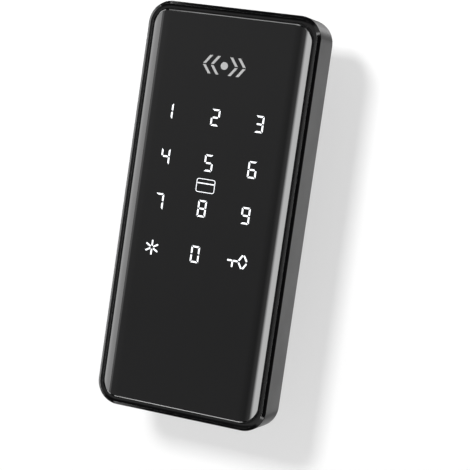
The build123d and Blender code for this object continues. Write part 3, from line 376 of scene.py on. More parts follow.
# %% [markdown]
# ## Pale plastics
# The gear wheel and the bushes are natural acetal, which is waxy. The light guides are milky
# acrylic, and the small sockets are cream nylon. Subsurface light would draw the wax best, but at
# this size a soft gloss and a faint mottling read the same.

# %% Gear, bushes, guides and sockets
finish("gear_plastic", "acetal, natural, gear", "d8d5c8", "ebe8dc", 0.6, 0.004, (0.3, 0.42), IOR=1.48)
finish("bush_plastic", "acetal, natural, turned", "cfccbe", "e0ddd0", 0.3, 0.006, (0.34, 0.46),
       stretch=(1, 6, 1), IOR=1.48)
finish("light_guide", "acrylic, milky", "d9dcdb", "eceeed", 2.0, 0.002, (0.3, 0.4), IOR=1.49)
finish("socket_plastic", "nylon, cream moulded", "cfc8ae", "ddd7c0", 0.4, 0.006, (0.38, 0.5), IOR=1.53)
finish("light_chip", "moulded light, white", "dedccb", "f2f0e2", 0.3, 0.003, (0.3, 0.4), IOR=1.5)
print("pale plastics")

# %% [markdown]
# ## Plated, coated and turned metals
# The back plate is steel with a black powder coat, a dark non-metal with an orange peel half a
# millimetre wide. The neck and nut are zinc alloy with satin nickel, the cam is a zinc plated
# pressing, and the spindle is turned, with marks round its axis. A metal's colour sits in its
# reflection, so the base is bright and the roughness does the work.

# %% Metals
finish("plate_steel", "steel sheet, black powder coat", "111113", "1d1d20", 0.55, 0.012, (0.4, 0.55),
       IOR=1.5)
finish("screw_steel", "steel, blackened", "4a4a4d", "636367", 0.3, 0.003, (0.3, 0.45), 1.0)
finish("neck_metal", "zinc alloy, satin nickel plated", "a8a6a1", "c3c1bb", 0.35, 0.002, (0.2, 0.32), 1.0)
finish("zinc_steel", "steel, zinc plated", "a9adb3", "c9ccd0", 0.7, 0.002, (0.26, 0.4), 1.0)
finish("cam_steel", "steel pressing, zinc plated and rolled", "9da1a8", "c6c9ce", 0.5, 0.003,
       (0.28, 0.42), 1.0, stretch=(1, 1, 0.12))
finish("spindle_steel", "steel, turned", "8f9196", "b4b6ba", 0.25, 0.002, (0.22, 0.36), 1.0,
       stretch=(0.15, 5, 0.15))
finish("spring_steel", "spring steel, oil blackened", "47474b", "606066", 0.4, 0.002, (0.3, 0.45), 1.0)
finish("nickel", "spring steel, nickel plated", "b3b0a8", "cdcac2", 0.4, 0.001, (0.16, 0.28), 1.0)
finish("brass", "brass, turned", "a8854a", "c9a767", 0.3, 0.002, (0.22, 0.36), 1.0, stretch=(0.2, 0.2, 5))
finish("copper", "copper track, tinned lacquer", "a86a48", "c58860", 0.3, 0.002, (0.3, 0.42), 1.0)
finish("motor_steel", "steel can, deep drawn, nickel plated", "9b9b9a", "b9b9b7", 0.6, 0.002,
       (0.2, 0.34), 1.0, stretch=(1, 1, 0.15))
finish("capacitor", "aluminium can, satin", "adb0b4", "cacdd0", 0.3, 0.002, (0.28, 0.4), 1.0)
print("metals")

# %% [markdown]
# ## Electronics and leads
# A circuit board is glass cloth under green lacquer, and copper tracks show through it as lighter
# lines. A chip is black epoxy, a flat cable amber film over copper, a lead is PVC. The tracks are a
# coarse brick pattern, which reads as wiring from a step away; real wiring would need an image.

# %% Boards, chips and film
TRACK_PITCH, TRACK_GAP, TRACK_RUN = 0.9, 0.18, 7.0


def board_finish(name, dark, light, track):
    """Green lacquer over glass cloth, with copper tracks below."""
    material = surface(name, dark, light, 0.45, 0.004, (0.22, 0.34), IOR=1.52)
    tree = material.node_tree
    base = found(material, "BSDF_PRINCIPLED").inputs["Base Color"]
    flat = add(tree, "ShaderNodeMapping", {
        "Vector": found(material, "TEX_COORD").outputs["Object"], "Rotation": (pi / 2, 0, 0)})
    tracks = add(tree, "ShaderNodeTexBrick", {
        "Vector": flat.outputs[0], "Color1": (1, 1, 1, 1), "Color2": (0.8, 0.8, 0.8, 1),
        "Mortar": (0, 0, 0, 1), "Scale": 1 / (TRACK_PITCH * MM), "Mortar Size": TRACK_GAP,
        "Brick Width": TRACK_RUN, "Row Height": 1.0, "Bias": -0.4})
    wired = add(tree, "ShaderNodeMix", {
        "Factor": tracks.outputs["Fac"], 6: base.links[0].from_socket, 7: linear(track)}, data_type="RGBA")
    tree.links.new(wired.outputs[2], base)
    return material


MATERIALS["board"] = board_finish("glass epoxy board, green lacquer", "0c3a22", "12492c", "1d6a40")
finish("chip", "epoxy, black moulded", "161617", "222224", 0.15, 0.004, (0.45, 0.6), IOR=1.55)
finish("ribbon", "polyimide film over copper", "8a4f12", "c07a22", 0.5, 0.002, (0.2, 0.3),
       stretch=(2, 0.05, 0.05), IOR=1.6)
finish("wire", "PVC lead, red", "8c1712", "a8211a", 1.5, 0.004, (0.38, 0.5), IOR=1.53)
print("boards and leads")

# %% [markdown]
# ## Cell sleeves
# A cell is a steel can in a printed film sleeve, with bare metal at both ends. The sleeve here is
# plain but for a band at the plus end, and neighbours lie head to tail. Height alone tells sleeve,
# band and metal apart, so the finish compares it with limits taken from the cell's box. Cutting the
# can into pieces would work too, but a cell is one node.

# %% Cells
BAND_HEIGHT, BARE_RIM, PLUS_NUB = 9.0, 0.35, 1.0


def sleeve_finish(name, plus_up, low, high):
    """Printed film round a cell, with bare nickel ends and a copper band at the plus end."""
    material = surface(name, "1b2430", "243142", 0.4, 0.002, (0.2, 0.3), IOR=1.5)
    tree = material.node_tree
    shader = found(material, "BSDF_PRINCIPLED")
    base = shader.inputs["Base Color"]
    place = found(material, "TEX_COORD").outputs["Object"]
    height = add(tree, "ShaderNodeSeparateXYZ", {0: place}).outputs["Z"]
    start = high - BAND_HEIGHT if plus_up else low
    band_low, band_high, rim_low, rim_high = [
        math(tree, operation, height, limit * MM)
        for operation, limit in (
            ("GREATER_THAN", start), ("LESS_THAN", start + BAND_HEIGHT),
            ("LESS_THAN", low + BARE_RIM), ("GREATER_THAN", high - BARE_RIM))]
    banded = math(tree, "MULTIPLY", band_low, band_high)
    bare = math(tree, "MAXIMUM", rim_low, rim_high)
    film = add(tree, "ShaderNodeMix", {
        "Factor": banded, 6: base.links[0].from_socket, 7: linear("b06a3a")}, data_type="RGBA")
    whole = add(tree, "ShaderNodeMix", {
        "Factor": bare, 6: film.outputs[2], 7: linear("c4c2bc")}, data_type="RGBA")
    tree.links.new(whole.outputs[2], base)
    tree.links.new(bare, shader.inputs["Metallic"])
    return material


CELL_MATERIALS = {}
for number in range(1, 5):
    plus_up = number % 2 == 1
    low, high = (corner[2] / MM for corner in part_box(f"cell_{number}"))
    low, high = (low, high - PLUS_NUB) if plus_up else (low + PLUS_NUB, high)
    CELL_MATERIALS[f"cell_{number}"] = sleeve_finish(
        f"cell sleeve, printed film {number}", plus_up, low, high)
print(len(MATERIALS), "finishes and", len(CELL_MATERIALS), "sleeves")

# %% [markdown]
# ## Dressing the solids
# Every solid gets the finish of its slot, and each cell its own sleeve. Done in one place, a solid
# without a finish stops the script instead of showing up plain grey.

# %% Put the finishes on the solids
for node, item in frame["nodes"].items():
    item.data.materials.clear()
    item.data.materials.append(CELL_MATERIALS.get(node) or MATERIALS[SLOT_OF[node]])
print("dressed", len(frame["nodes"]), "nodes")

# %% [markdown]
# ## Making meshes
# The pieces below are bars or rings through a few sections, so two helpers join sections and one
# turns the result into an object. Sections keep each shape readable as the drawing it comes from.
# Primitives and modifiers would need the same numbers and more steps.

# %% Outlines, bars and rings
RING_STEPS, RING_CREASE = 14, 25


def round_box(width, height, corner, steps=5):
    """Points of a rounded rectangle round the origin, anticlockwise from the lower right corner."""
    points = []
    for i, (sx, sz) in enumerate(((1, -1), (1, 1), (-1, 1), (-1, -1))):
        for k in range(steps + 1):
            angle = -pi / 2 + (i + k / steps) * pi / 2
            points.append((
                sx * (width / 2 - corner) + corner * cos(angle),
                sz * (height / 2 - corner) + corner * sin(angle)))
    return points


def finished(name, shape, material, crease=None):
    """Turns a bmesh into an object with its finish, smooth but for edges sharper than the crease."""
    bmesh.ops.recalc_face_normals(shape, faces=shape.faces)
    mesh = bpy.data.meshes.new(name)
    shape.to_mesh(mesh)
    shape.free()
    mesh.materials.append(material)
    if crease:
        mesh.shade_smooth()
        mesh.set_sharp_from_angle(angle=radians(crease))
    return in_scene(name, mesh)


def walls(shape, rings):
    """Faces between each ring of vertices and the next."""
    for before, after in zip(rings, rings[1:]):
        for i in range(len(before)):
            j = (i + 1) % len(before)
            shape.faces.new((before[i], before[j], after[j], after[i]))


def closed_bar(shape, sections):
    """Joins sections, lists of equally many points in millimetres, into a bar with closed ends."""
    rings = [[shape.verts.new([value * MM for value in point]) for point in section] for section in sections]
    walls(shape, rings)
    shape.faces.new(rings[0])
    shape.faces.new(rings[-1][::-1])


def swept_ring(name, sections, material):
    """A closed ring through sections of width, height, corner and depth, all in millimetres."""
    shape = bmesh.new()
    rings = []
    for width, height, corner, depth in sections:
        outline = round_box(width, height, corner, RING_STEPS)
        rings.append([shape.verts.new((x * MM, -depth * MM, z * MM)) for x, z in outline])
    walls(shape, rings + rings[:1])
    return finished(name, shape, material, RING_CREASE)


def put_on(piece, body):
    """The piece moves with a body of the frame."""
    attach(piece, body)


print("mesh helpers ready")

# %% [markdown]
# ## The bezel's polished face
# The raised rim round the panel is polished. From a crest near its sides it leans gently down to the
# groove, and outwards it falls away in a chamfer of about 45 degrees, so each side of the crest
# mirrors another part of the room. The solid's rim is flat, and a bevel modifier would have to find
# its edges among loose triangles, so the face is swept as a ring of rounded rectangles just outside
# the solid. A second ring lies on the groove's floor as painted shade. It has the near-black,
# nearly glossless finish of the foam tape and keeps the groove dark.

# %% Bezel and groove
SLAB = (60.0, 135.0, 7.7)
CORNER_SHRINK = 0.93
BEAD = [
    (1.85, 2.47, 13.1), (1.85, 2.47, 13.84), (1.83, 2.45, 13.9), (1.8, 2.42, 13.93), (1.77, 2.38, 13.94),
    (1.71, 1.95, 13.943), (1.69, 1.9, 13.948), (1.67, 1.86, 13.953), (1.06, 1.06, 14.126),
    (1.03, 1.03, 14.134), (1.018, 1.018, 14.136), (1.008, 1.008, 14.134), (0.996, 0.996, 14.126),
    (0.96, 0.96, 14.092), (0.1, 0.1, 13.27), (0.07, 0.07, 13.24), (0.03, 0.03, 13.19), (0.0, 0.0, 13.11),
    (-0.014, -0.014, 13.03), (-0.016, -0.016, 12.96), (-0.016, -0.016, 12.85), (0.4, 0.4, 12.8),
    (1.6, 2.2, 12.8)]
GROOVE_INSIDE, GROOVE_OUTSIDE = (54.5, 128.3, 5.1), (56.3, 130.06, 5.98)
GROOVE_FLOOR, SHADE_RING_BACK = 13.28, 13.1


def inset(side, end, depth):
    """The slab's outline drawn in by a side and an end inset in millimetres, at a depth."""
    width, height, corner = SLAB
    return width - 2 * side, height - 2 * end, corner - CORNER_SHRINK * side, depth


bead = swept_ring("bezel_bead", [inset(*row) for row in BEAD], MATERIALS["bezel"])
# Painted shade: a near-black ring on the groove's floor keeps the groove dark.
groove_shade = swept_ring("groove_lining", [
    (*GROOVE_INSIDE, GROOVE_FLOOR), (*GROOVE_OUTSIDE, GROOVE_FLOOR), (*GROOVE_OUTSIDE, SHADE_RING_BACK),
    (*GROOVE_INSIDE, SHADE_RING_BACK)], MATERIALS["seal"])
put_on(bead, "lock_body")
put_on(groove_shade, "lock_body")
print("bead of", len(bead.data.polygons), "faces")

# %% [markdown]
# ## The slab's upright corners
# The solid's corners are a few flat strips, which show as bands in a satin surface. A thin curved
# plate lies a hundredth of a millimetre outside each corner. Below it stops short of the mouth that
# the battery tray leaves by. Smoothing the solid would be simpler, but its mesh isn't touched.

# %% Corner skins
SKIN_LIFT, SKIN_SUNK, SKIN_BACK, SKIN_FRONT = 0.012, 0.3, 0.7, 12.95
SKIN_STEPS = 20
FULL_CORNER, MOUTH_CLEAR_ANGLE = 90.0, 81.0


def corner_skin(shape, across, along, last):
    """A curved plate over one upright corner, from the slab's side to a last angle in degrees."""
    width, height, corner = SLAB
    outside, inside = corner + SKIN_LIFT, corner - SKIN_SUNK
    sections = []
    for k in range(SKIN_STEPS + 1):
        turn = radians(last * k / SKIN_STEPS)
        sections.append([
            (across * (width / 2 - corner + radius * cos(turn)), -depth,
             along * (height / 2 - corner + radius * sin(turn)))
            for radius, depth in (
                (outside, SKIN_BACK), (outside, SKIN_FRONT), (inside, SKIN_FRONT), (inside, SKIN_BACK))])
    closed_bar(shape, sections)


skins = bmesh.new()
for across in (-1, 1):
    corner_skin(skins, across, 1, FULL_CORNER)
    corner_skin(skins, across, -1, MOUTH_CLEAR_ANGLE)
skins = finished("corner_skins", skins, MATERIALS["housing"], RING_CREASE)
put_on(skins, "lock_body")
print("corner skins of", len(skins.data.polygons), "faces")

# %% [markdown]
# ## The panel's bevelled ends
# The panel's short edges carry a narrow polished bevel: the photograph shows a thin bright line
# along the top and the bottom. The solid's small round would mirror the whole room in a line too
# thin to see. The bevel follows the curve of the panel's face and runs out round both corners, so it
# is swept through sections along the edge.

# %% Panel bevels
PANEL = (54.94, 128.7, 5.3)
SHOULDER_WIDTH, SHOULDER_DROP = 6.0, 1.9
SHOULDER_BEND = (SHOULDER_WIDTH ** 2 + SHOULDER_DROP ** 2) / (2 * SHOULDER_DROP)
FACE_LIFT = 0.003
BEVEL_IN, BEVEL_OUT, BEVEL_DEEP = 0.19, 0.1, 0.25
BEVEL_SECTION = ((-BEVEL_IN, 0.0), (BEVEL_OUT, 0.0), (BEVEL_OUT, BEVEL_DEEP), (-BEVEL_IN, BEVEL_DEEP))
BEVEL_SLOPE, BEVEL_REACH, BEVEL_FADE = radians(28), radians(58), 0.9
BEVEL_STEPS, BEVEL_CREASE = 16, 12


def panel_depth(x):
    """How far in front of the door the panel's face is: flat, then an arc down to the long edges."""
    past = max(0.0, abs(x) - (PANEL[0] / 2 - SHOULDER_WIDTH))
    return -PANEL_FRONT - SHOULDER_BEND + (SHOULDER_BEND ** 2 - past ** 2) ** 0.5 + FACE_LIFT


def edge_bevel(shape, along):
    """A polished bevel on the panel's upper (1) or lower (-1) edge, narrower round the corners."""
    width, height, corner = PANEL
    shares = [step / BEVEL_STEPS for step in range(BEVEL_STEPS + 1)]
    sections = []
    for side, share in [(-1, share) for share in reversed(shares)] + [(1, share) for share in shares]:
        turn = share * BEVEL_REACH
        size = 1 - BEVEL_FADE * share ** 3
        section = []
        for offset, sunk in BEVEL_SECTION:
            x = side * (width / 2 - corner + (corner + offset * size) * sin(turn))
            z = along * (height / 2 - corner + (corner + offset * size) * cos(turn))
            fall = (offset + BEVEL_IN) * size * tan(BEVEL_SLOPE)
            section.append((x, -(panel_depth(x) - fall - sunk), z))
        sections.append(section)
    closed_bar(shape, sections)


bevels = bmesh.new()
edge_bevel(bevels, 1)
edge_bevel(bevels, -1)
bevels = finished("panel_edge_bevels", bevels, MATERIALS["panel"], BEVEL_CREASE)
put_on(bevels, "lock_body")
print("bevels of", len(bevels.data.polygons), "faces")

# %% [markdown]
# ## Lit digits
# The digits are windows in the black print, lit from behind, in seven bars with mitred ends as on a
# clock. They could be a font, but bars are simple shapes with exact places, so each is a small flat
# prism that lies on the panel. A light shining through is drawn as emission.

# %% Seven bars
SIGN_FRONT = PANEL_FRONT - 0.02
WINDOW_LIGHT = 0.78
DIGIT_WIDTH, DIGIT_HEIGHT, BAR, BAR_GAP = 3.0, 5.5, 0.55, 0.25
DIGITS = {
    "1": ("bc", (-16.03 - DIGIT_WIDTH / 2 + BAR / 2, 31.67)), "2": ("abged", (-0.77, 31.52)),
    "3": ("abgcd", (14.49, 31.38)), "4": ("fgbc", (-16.16, 16.77)), "5": ("afgcd", (-0.85, 16.64)),
    "6": ("afgecd", (14.34, 16.59)), "7": ("abc", (-16.15, 1.83)), "8": ("abcdefg", (-0.93, 1.70)),
    "9": ("abfgcd", (14.32, 1.71)), "0": ("abcdef", (-1.04, -13.34)),
}
lit = surface("acrylic window, lit from behind", "f2f4f4", "ffffff", 2.0, 0.001, (0.1, 0.15), IOR=1.49)
shine = found(lit, "BSDF_PRINCIPLED").inputs
shine["Emission Color"].default_value = linear("f4f8ff")
shine["Emission Strength"].default_value = WINDOW_LIGHT


def sign(name, place, outlines, material):
    """Flat prisms on the panel over outlines of x and z in millimetres round a place, in one mesh."""
    shape = bmesh.new()
    for outline in outlines:
        closed_bar(shape, [
            [(place[0] + x, y, place[1] + z) for x, z in outline] for y in (SIGN_FRONT, PANEL_FRONT)])
    put_on(finished("sign_" + name, shape, material), "lock_body")


def digit_bars(bars):
    """The lit bars of a digit: a top, b and c right, d bottom, e and f left, g middle."""
    w, h, s, g = DIGIT_WIDTH / 2, DIGIT_HEIGHT / 2, BAR, BAR_GAP
    shapes = {
        "a": [(-w + g, h), (w - g, h), (w - s - g, h - s), (-w + s + g, h - s)],
        "b": [(w, h - g), (w, g * 0.8), (w - s / 2, g), (w - s, s / 2 + g / 3), (w - s, h - s - g)],
        "g": [(-w + s / 2 + g, 0), (-w + s + g, s / 2), (w - s - g, s / 2), (w - s / 2 - g, 0),
              (w - s - g, -s / 2), (-w + s + g, -s / 2)],
    }
    for bar, other, sx, sz in (("d", "a", 1, -1), ("c", "b", 1, -1), ("f", "b", -1, 1), ("e", "b", -1, -1)):
        shapes[bar] = [(sx * x, sz * z) for x, z in shapes[other]]
    return [shapes[bar] for bar in bars]


for name, (bars, place) in DIGITS.items():
    sign(name, place, digit_bars(bars), lit)
print("digits", len(DIGITS))

# %% [markdown]
# ## Star, key, card and reader signs
# The other signs are drawn from straight bars whose corners are cut, as the photograph's are. The
# star, key and card are lit like the digits, and the card stays empty, without a word in it. The
# reader sign at the top is only printed in pale grey, so it gives no light.

# %% Star, key, card and reader
STAR_PLACE, STAR_NEAR, STAR_FAR, STAR_BAR, STAR_CUT = (-16.41, -13.48), 0.55, 2.45, 0.52, 0.14
KEY_PLACE, KEY_BAR, KEY_CUT, BOW_CUT = (13.69, -13.22), 0.55, 0.12, 0.08
BOW_X, BOW_HALF, BOW_RISE, BOW_TRIM, BOW_GAP = 1.95, 1.6, 2.5, 0.13, 0.1
SHAFT_LEFT, SHAFT_END, SHAFT_START, TOOTH_X, TOOTH_TOP, TOOTH_END = -3.4, -1.67, -1.4, -1.55, -0.32, -2.1
CARD_PLACE, CARD_OUTSIDE, CARD_INSIDE = (-0.78, 9.19), (6.5, 4.5, 0.75), (6.08, 4.08, 0.54)
STRIPE_Z, STRIPE_HALF, STRIPE_WIDTH = 0.72, 2.9, 0.34
READER_PLACE, DOT_RADIUS, DOT_STEPS = (-0.24, 48.40), 1.25, 32
CHEVRON_TIP, CHEVRON_STEP, CHEVRON_RUN, CHEVRON_THICK = 7.45, 2.75, 2.1, 1.0
CHEVRON_HALF, CHEVRON_GAP = 3.0, 0.2


def bar_outline(start, end, width, cut=0.0):
    """A straight bar between two points, with its corners cut."""
    (sx, sz), (ex, ez) = start, end
    length = hypot(ex - sx, ez - sz)
    ax, az = (ex - sx) / length, (ez - sz) / length
    nx, nz = -az * width / 2, ax * width / 2
    cx, cz = ax * cut, az * cut
    k = 1 - cut * 2 / width
    return [
        (sx + nx * k, sz + nz * k), (sx + cx + nx, sz + cz + nz), (ex - cx + nx, ez - cz + nz),
        (ex + nx * k, ez + nz * k), (ex - nx * k, ez - nz * k), (ex - cx - nx, ez - cz - nz),
        (sx + cx - nx, sz + cz - nz), (sx - nx * k, sz - nz * k)]


star = []
for turn in (90, 150, 210, 270, 330, 30):
    x, z = cos(radians(turn)), sin(radians(turn))
    star.append(bar_outline((STAR_NEAR * x, STAR_NEAR * z), (STAR_FAR * x, STAR_FAR * z), STAR_BAR, STAR_CUT))
sign("star", STAR_PLACE, star, lit)

bow = [(BOW_X - BOW_HALF, 0.0), (BOW_X, BOW_RISE), (BOW_X + BOW_HALF, 0.0), (BOW_X, -BOW_RISE)]
key_bars = []
for (x1, z1), (x2, z2) in zip(bow, bow[1:] + bow[:1]):
    trim_x, trim_z = (x2 - x1) * BOW_TRIM, (z2 - z1) * BOW_TRIM
    key_bars.append(bar_outline((x1 + trim_x, z1 + trim_z), (x2 - trim_x, z2 - trim_z), KEY_BAR, BOW_CUT))
key_bars.append(bar_outline((SHAFT_LEFT, 0.0), (SHAFT_END, 0.0), KEY_BAR, KEY_CUT))
key_bars.append(bar_outline((SHAFT_START, 0.0), (BOW_X - BOW_HALF - BOW_GAP, 0.0), KEY_BAR, KEY_CUT))
key_bars.append(bar_outline((TOOTH_X, TOOTH_TOP), (TOOTH_X, TOOTH_END), KEY_BAR, KEY_CUT))
sign("key", KEY_PLACE, key_bars, lit)

outer, inner = round_box(*CARD_OUTSIDE), round_box(*CARD_INSIDE)
card_bars = [[outer[i - 1], outer[i], inner[i], inner[i - 1]] for i in range(len(outer))]
card_bars.append(bar_outline((-STRIPE_HALF, STRIPE_Z), (STRIPE_HALF, STRIPE_Z), STRIPE_WIDTH))
sign("card", CARD_PLACE, card_bars, lit)

reader = []
for side in (-1, 1):
    for tip in (side * CHEVRON_TIP, side * (CHEVRON_TIP - CHEVRON_STEP)):
        inner = tip - side * CHEVRON_RUN
        for half in (-1, 1):
            reader.append([
                (tip, half * CHEVRON_GAP), (tip - side * CHEVRON_THICK, half * CHEVRON_GAP),
                (inner - side * CHEVRON_THICK, half * CHEVRON_HALF), (inner, half * CHEVRON_HALF)])
dot = [2 * pi * i / DOT_STEPS for i in range(DOT_STEPS)]
reader.append([(DOT_RADIUS * cos(angle), DOT_RADIUS * sin(angle)) for angle in dot])
printed = surface("screen print, pale grey", "c0c0c0", "cacaca", 0.3, 0.001, (0.2, 0.3), IOR=1.5)
sign("reader", READER_PLACE, reader, printed)
print("star, key, card and reader")

# %% [markdown]
# ## Threads, nut, bolt and washers
# The solids carry plain cylinders where the real pieces have threads. The neck is cast with a thread
# of 1.5 mm pitch and one flat side that stops it from turning; its nut and the cam bolt are cold
# formed, with a 30 degree cone cut over the corners. Each is a profile that changes with the angle:
# the thread's wave runs along the neck, and the hexagon's corners push through the cone. A screw
# modifier makes clean threads too, but not the flat.

# %% Turned and threaded pieces
AXIS_Z, TURNED_CREASE = 14.0, 22


def turned(name, profile_at, count, material, hollow=True):
    """A closed piece round the cam's axis; profile_at(angle) gives radius and y, with an optional flat."""
    shape = bmesh.new()
    columns = []
    for k in range(count):
        turn = 2 * pi * k / count
        column = []
        for m, (radius, y, *flat) in enumerate(profile_at(turn)):
            if radius == 0 and columns:
                column.append(columns[0][m])
                continue
            z = max(radius * sin(turn), -flat[0]) if flat else radius * sin(turn)
            column.append(shape.verts.new((radius * cos(turn) * MM, y * MM, (AXIS_Z + z) * MM)))
        columns.append(column)
    for k, column in enumerate(columns):
        following = columns[(k + 1) % count]
        for m in range(len(column) if hollow else len(column) - 1):
            n = (m + 1) % len(column)
            corners = dict.fromkeys((column[m], column[n], following[n], following[m]))
            shape.faces.new(list(corners))
    return finished(name, shape, material, TURNED_CREASE)


NECK_RADIUS, NECK_FLAT, NECK_BORE, NECK_START, NECK_END = 9.5, 8.4, 6.5, -1.0, 20.0
NECK_ROWS, NECK_CONE, NECK_CONE_FALL, NECK_BREAK = 112, 0.8, 0.9, 0.4
THREAD_PITCH, THREAD_DEPTH, THREAD_FROM, THREAD_RUN_IN = 1.5, 0.75, 1.3, 0.8
THREAD_ROOT, THREAD_FLANK, CONE_FALL = 0.86, 0.62, 0.577
BOLT_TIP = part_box("cam_bolt")[0][1] / MM


def thread_wave(phase):
    """Depth of the thread at a phase of one pitch: flat crest, sloping flank, flat root, flank."""
    fold = abs(phase % 1.0 - 0.5) * 2
    return min(1.0, max(0.0, (THREAD_ROOT - fold) / THREAD_FLANK))


def neck_profile(turn):
    points = []
    for i in range(NECK_ROWS + 1):
        y = NECK_START + (NECK_END - NECK_START) * i / NECK_ROWS
        fade = min(1.0, max(0.0, (y - THREAD_FROM) / THREAD_RUN_IN))
        cone = max(0.0, y - (NECK_END - NECK_CONE)) * NECK_CONE_FALL
        cut = THREAD_DEPTH * fade * thread_wave(y / THREAD_PITCH - turn / (2 * pi))
        points.append((NECK_RADIUS - max(cut, cone), y, NECK_FLAT))
    return points + [
        (NECK_BORE + NECK_BREAK, NECK_END), (NECK_BORE, NECK_END - NECK_BREAK), (NECK_BORE, NECK_START)]


def hexagon(turn, across_flats, face_share):
    """Distance from the axis to a hexagon's side, the radius of its round face, and the cone's fall."""
    reach = across_flats / 2 / cos(turn % (pi / 3) - pi / 6)
    face = min(reach, across_flats / 2 * face_share)
    return reach, face, (reach - face) * CONE_FALL


def nut_profile(turn, across_flats=23.0, low=16.0, high=20.0, bore=9.54, width=0.5, rise=0.45):
    reach, face, drop = hexagon(turn, across_flats, 0.975)
    return [
        (bore, low + rise), (bore + width, low), (face, low), (reach, low + drop), (reach, high - drop),
        (face, high), (bore + width, high), (bore, high - rise)]


def bolt_profile(turn, across_flats=8.0, low=24.5, high=28.0, shank=2.5, taper=0.5, rim=1.6, sunk=0.12):
    reach, face, drop = hexagon(turn, across_flats, 0.95)
    return [
        (0, BOLT_TIP), (shank - taper, BOLT_TIP), (shank, BOLT_TIP + taper), (shank, low), (face, low),
        (reach, low + 0.1), (reach, high - drop), (face, high), (rim, high), (rim - 0.2, high - sunk),
        (0, high - sunk)]


WASHER_BREAK, WASHER_PLAY = 0.18, 0.04
NECK_WASHER = (NECK_RADIUS + WASHER_PLAY, 13.0, 14.8, 16.0, NECK_FLAT + WASHER_PLAY)
CAM_WASHER = (2.55, 6.5, 23.3, 24.5)


def washer_profile(inner, outer, low, high, *flat):
    b = WASHER_BREAK
    return [
        (inner, low + b, *flat), (inner + b, low, *flat), (outer - b, low), (outer, low + b),
        (outer, high - b), (outer - b, high), (inner + b, high, *flat), (inner, high - b, *flat)]


HARDWARE = {
    "neck": ("neck_threaded", neck_profile, 144),
    "neck_nut": ("neck_nut_chamfered", nut_profile, 120),
    "cam_bolt": ("cam_bolt_chamfered", bolt_profile, 96),
    "neck_washer": ("neck_washer_broken_edge", lambda turn: washer_profile(*NECK_WASHER), 144),
    "cam_washer": ("cam_washer_broken_edge", lambda turn: washer_profile(*CAM_WASHER), 96),
}
for node, (name, profile_at, count) in HARDWARE.items():
    piece = turned(name, profile_at, count, MATERIALS[SLOT_OF[node]], node != "cam_bolt")
    put_on(piece, "cam_set" if node.startswith("cam") else "lock_body")
    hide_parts(node)
    print(name, len(piece.data.polygons), "faces")

# %% [markdown]
# ## Softened edges
# No pressed, moulded or machined edge is a perfect corner, and the line of light on its round makes
# it look real. The solid's triangles are merged, flat faces are joined, and every edge sharper than
# a limit gets a two-step round. A bevel node in the material would fake it and leave the mesh.

# %% Rounded copies of solids
BODY_OF = {node: body for body, nodes in frame["record"]["behaviour"]["bodies"].items() for node in nodes}
SOFT = {"cam": 0.3, "back_plate": 0.12, "battery_tray": 0.15, "motor_cradle": 0.12, "gearbox": 0.1,
        "main_capacitor": 0.2, "buzzer": 0.2, "controller_chip": 0.06, "driver_chip": 0.06,
        "touch_chip": 0.06, "motor_plug": 0.08, "ribbon_sockets": 0.08, "reset_plunger": 0.08,
        "reset_switch": 0.08, "worm_wheel": 0.06, "board_standoffs": 0.1}
MERGE_DISTANCE, FLAT_ANGLE, SHARP_ANGLE, ROUND_SHAPE = 0.0005, 0.6, 38.0, 0.6
SOFT_CREASE, PLATE_CREASE = 20, 10


def softened(node, width, crease):
    """A copy of a solid whose sharp edges are rounded by a width in millimetres."""
    shape = bmesh.new()
    shape.from_mesh(frame["nodes"][node].data)
    bmesh.ops.remove_doubles(shape, verts=shape.verts, dist=MERGE_DISTANCE * MM)
    before = shape.calc_volume()
    bmesh.ops.dissolve_limit(shape, angle_limit=radians(FLAT_ANGLE), verts=shape.verts, edges=shape.edges)
    sharp = [edge for edge in shape.edges if len(edge.link_faces) == 2
             and abs(edge.calc_face_angle_signed(0.0)) > radians(SHARP_ANGLE)]
    bmesh.ops.bevel(
        shape, geom=sharp, offset=width * MM, offset_type="OFFSET", segments=2, profile=ROUND_SHAPE,
        affect="EDGES", clamp_overlap=True)
    bmesh.ops.triangulate(shape, faces=[face for face in shape.faces if len(face.verts) > 4])
    after = shape.calc_volume()
    print(node, "sharp edges", len(sharp), "volume kept", round(after / before, 4))
    return finished(node + "_softened", shape, frame["nodes"][node].data.materials[0], crease)


for node, width in SOFT.items():
    piece = softened(node, width, PLATE_CREASE if node == "back_plate" else SOFT_CREASE)
    put_on(piece, BODY_OF[node])
    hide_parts(node)

# %% [markdown]
# ## Legs and small parts on the boards
# A chip stands on gull-wing legs every 0.65 mm, and round it sit resistors and capacitors no bigger
# than a grain of rice. Geometry Nodes put a copy on every point of a small mesh, turned by a value
# stored on the point. A loop that joins copies would do the same, but the tree keeps the pattern
# easy to change: points, piece, finish, spread of sizes and seed are its inputs.

# %% Copies by Geometry Nodes
TREE_INPUTS = {
    "Points": "Geometry", "Piece": "Object", "Finish": "Material", "Spread": "Float", "Seed": "Int"}


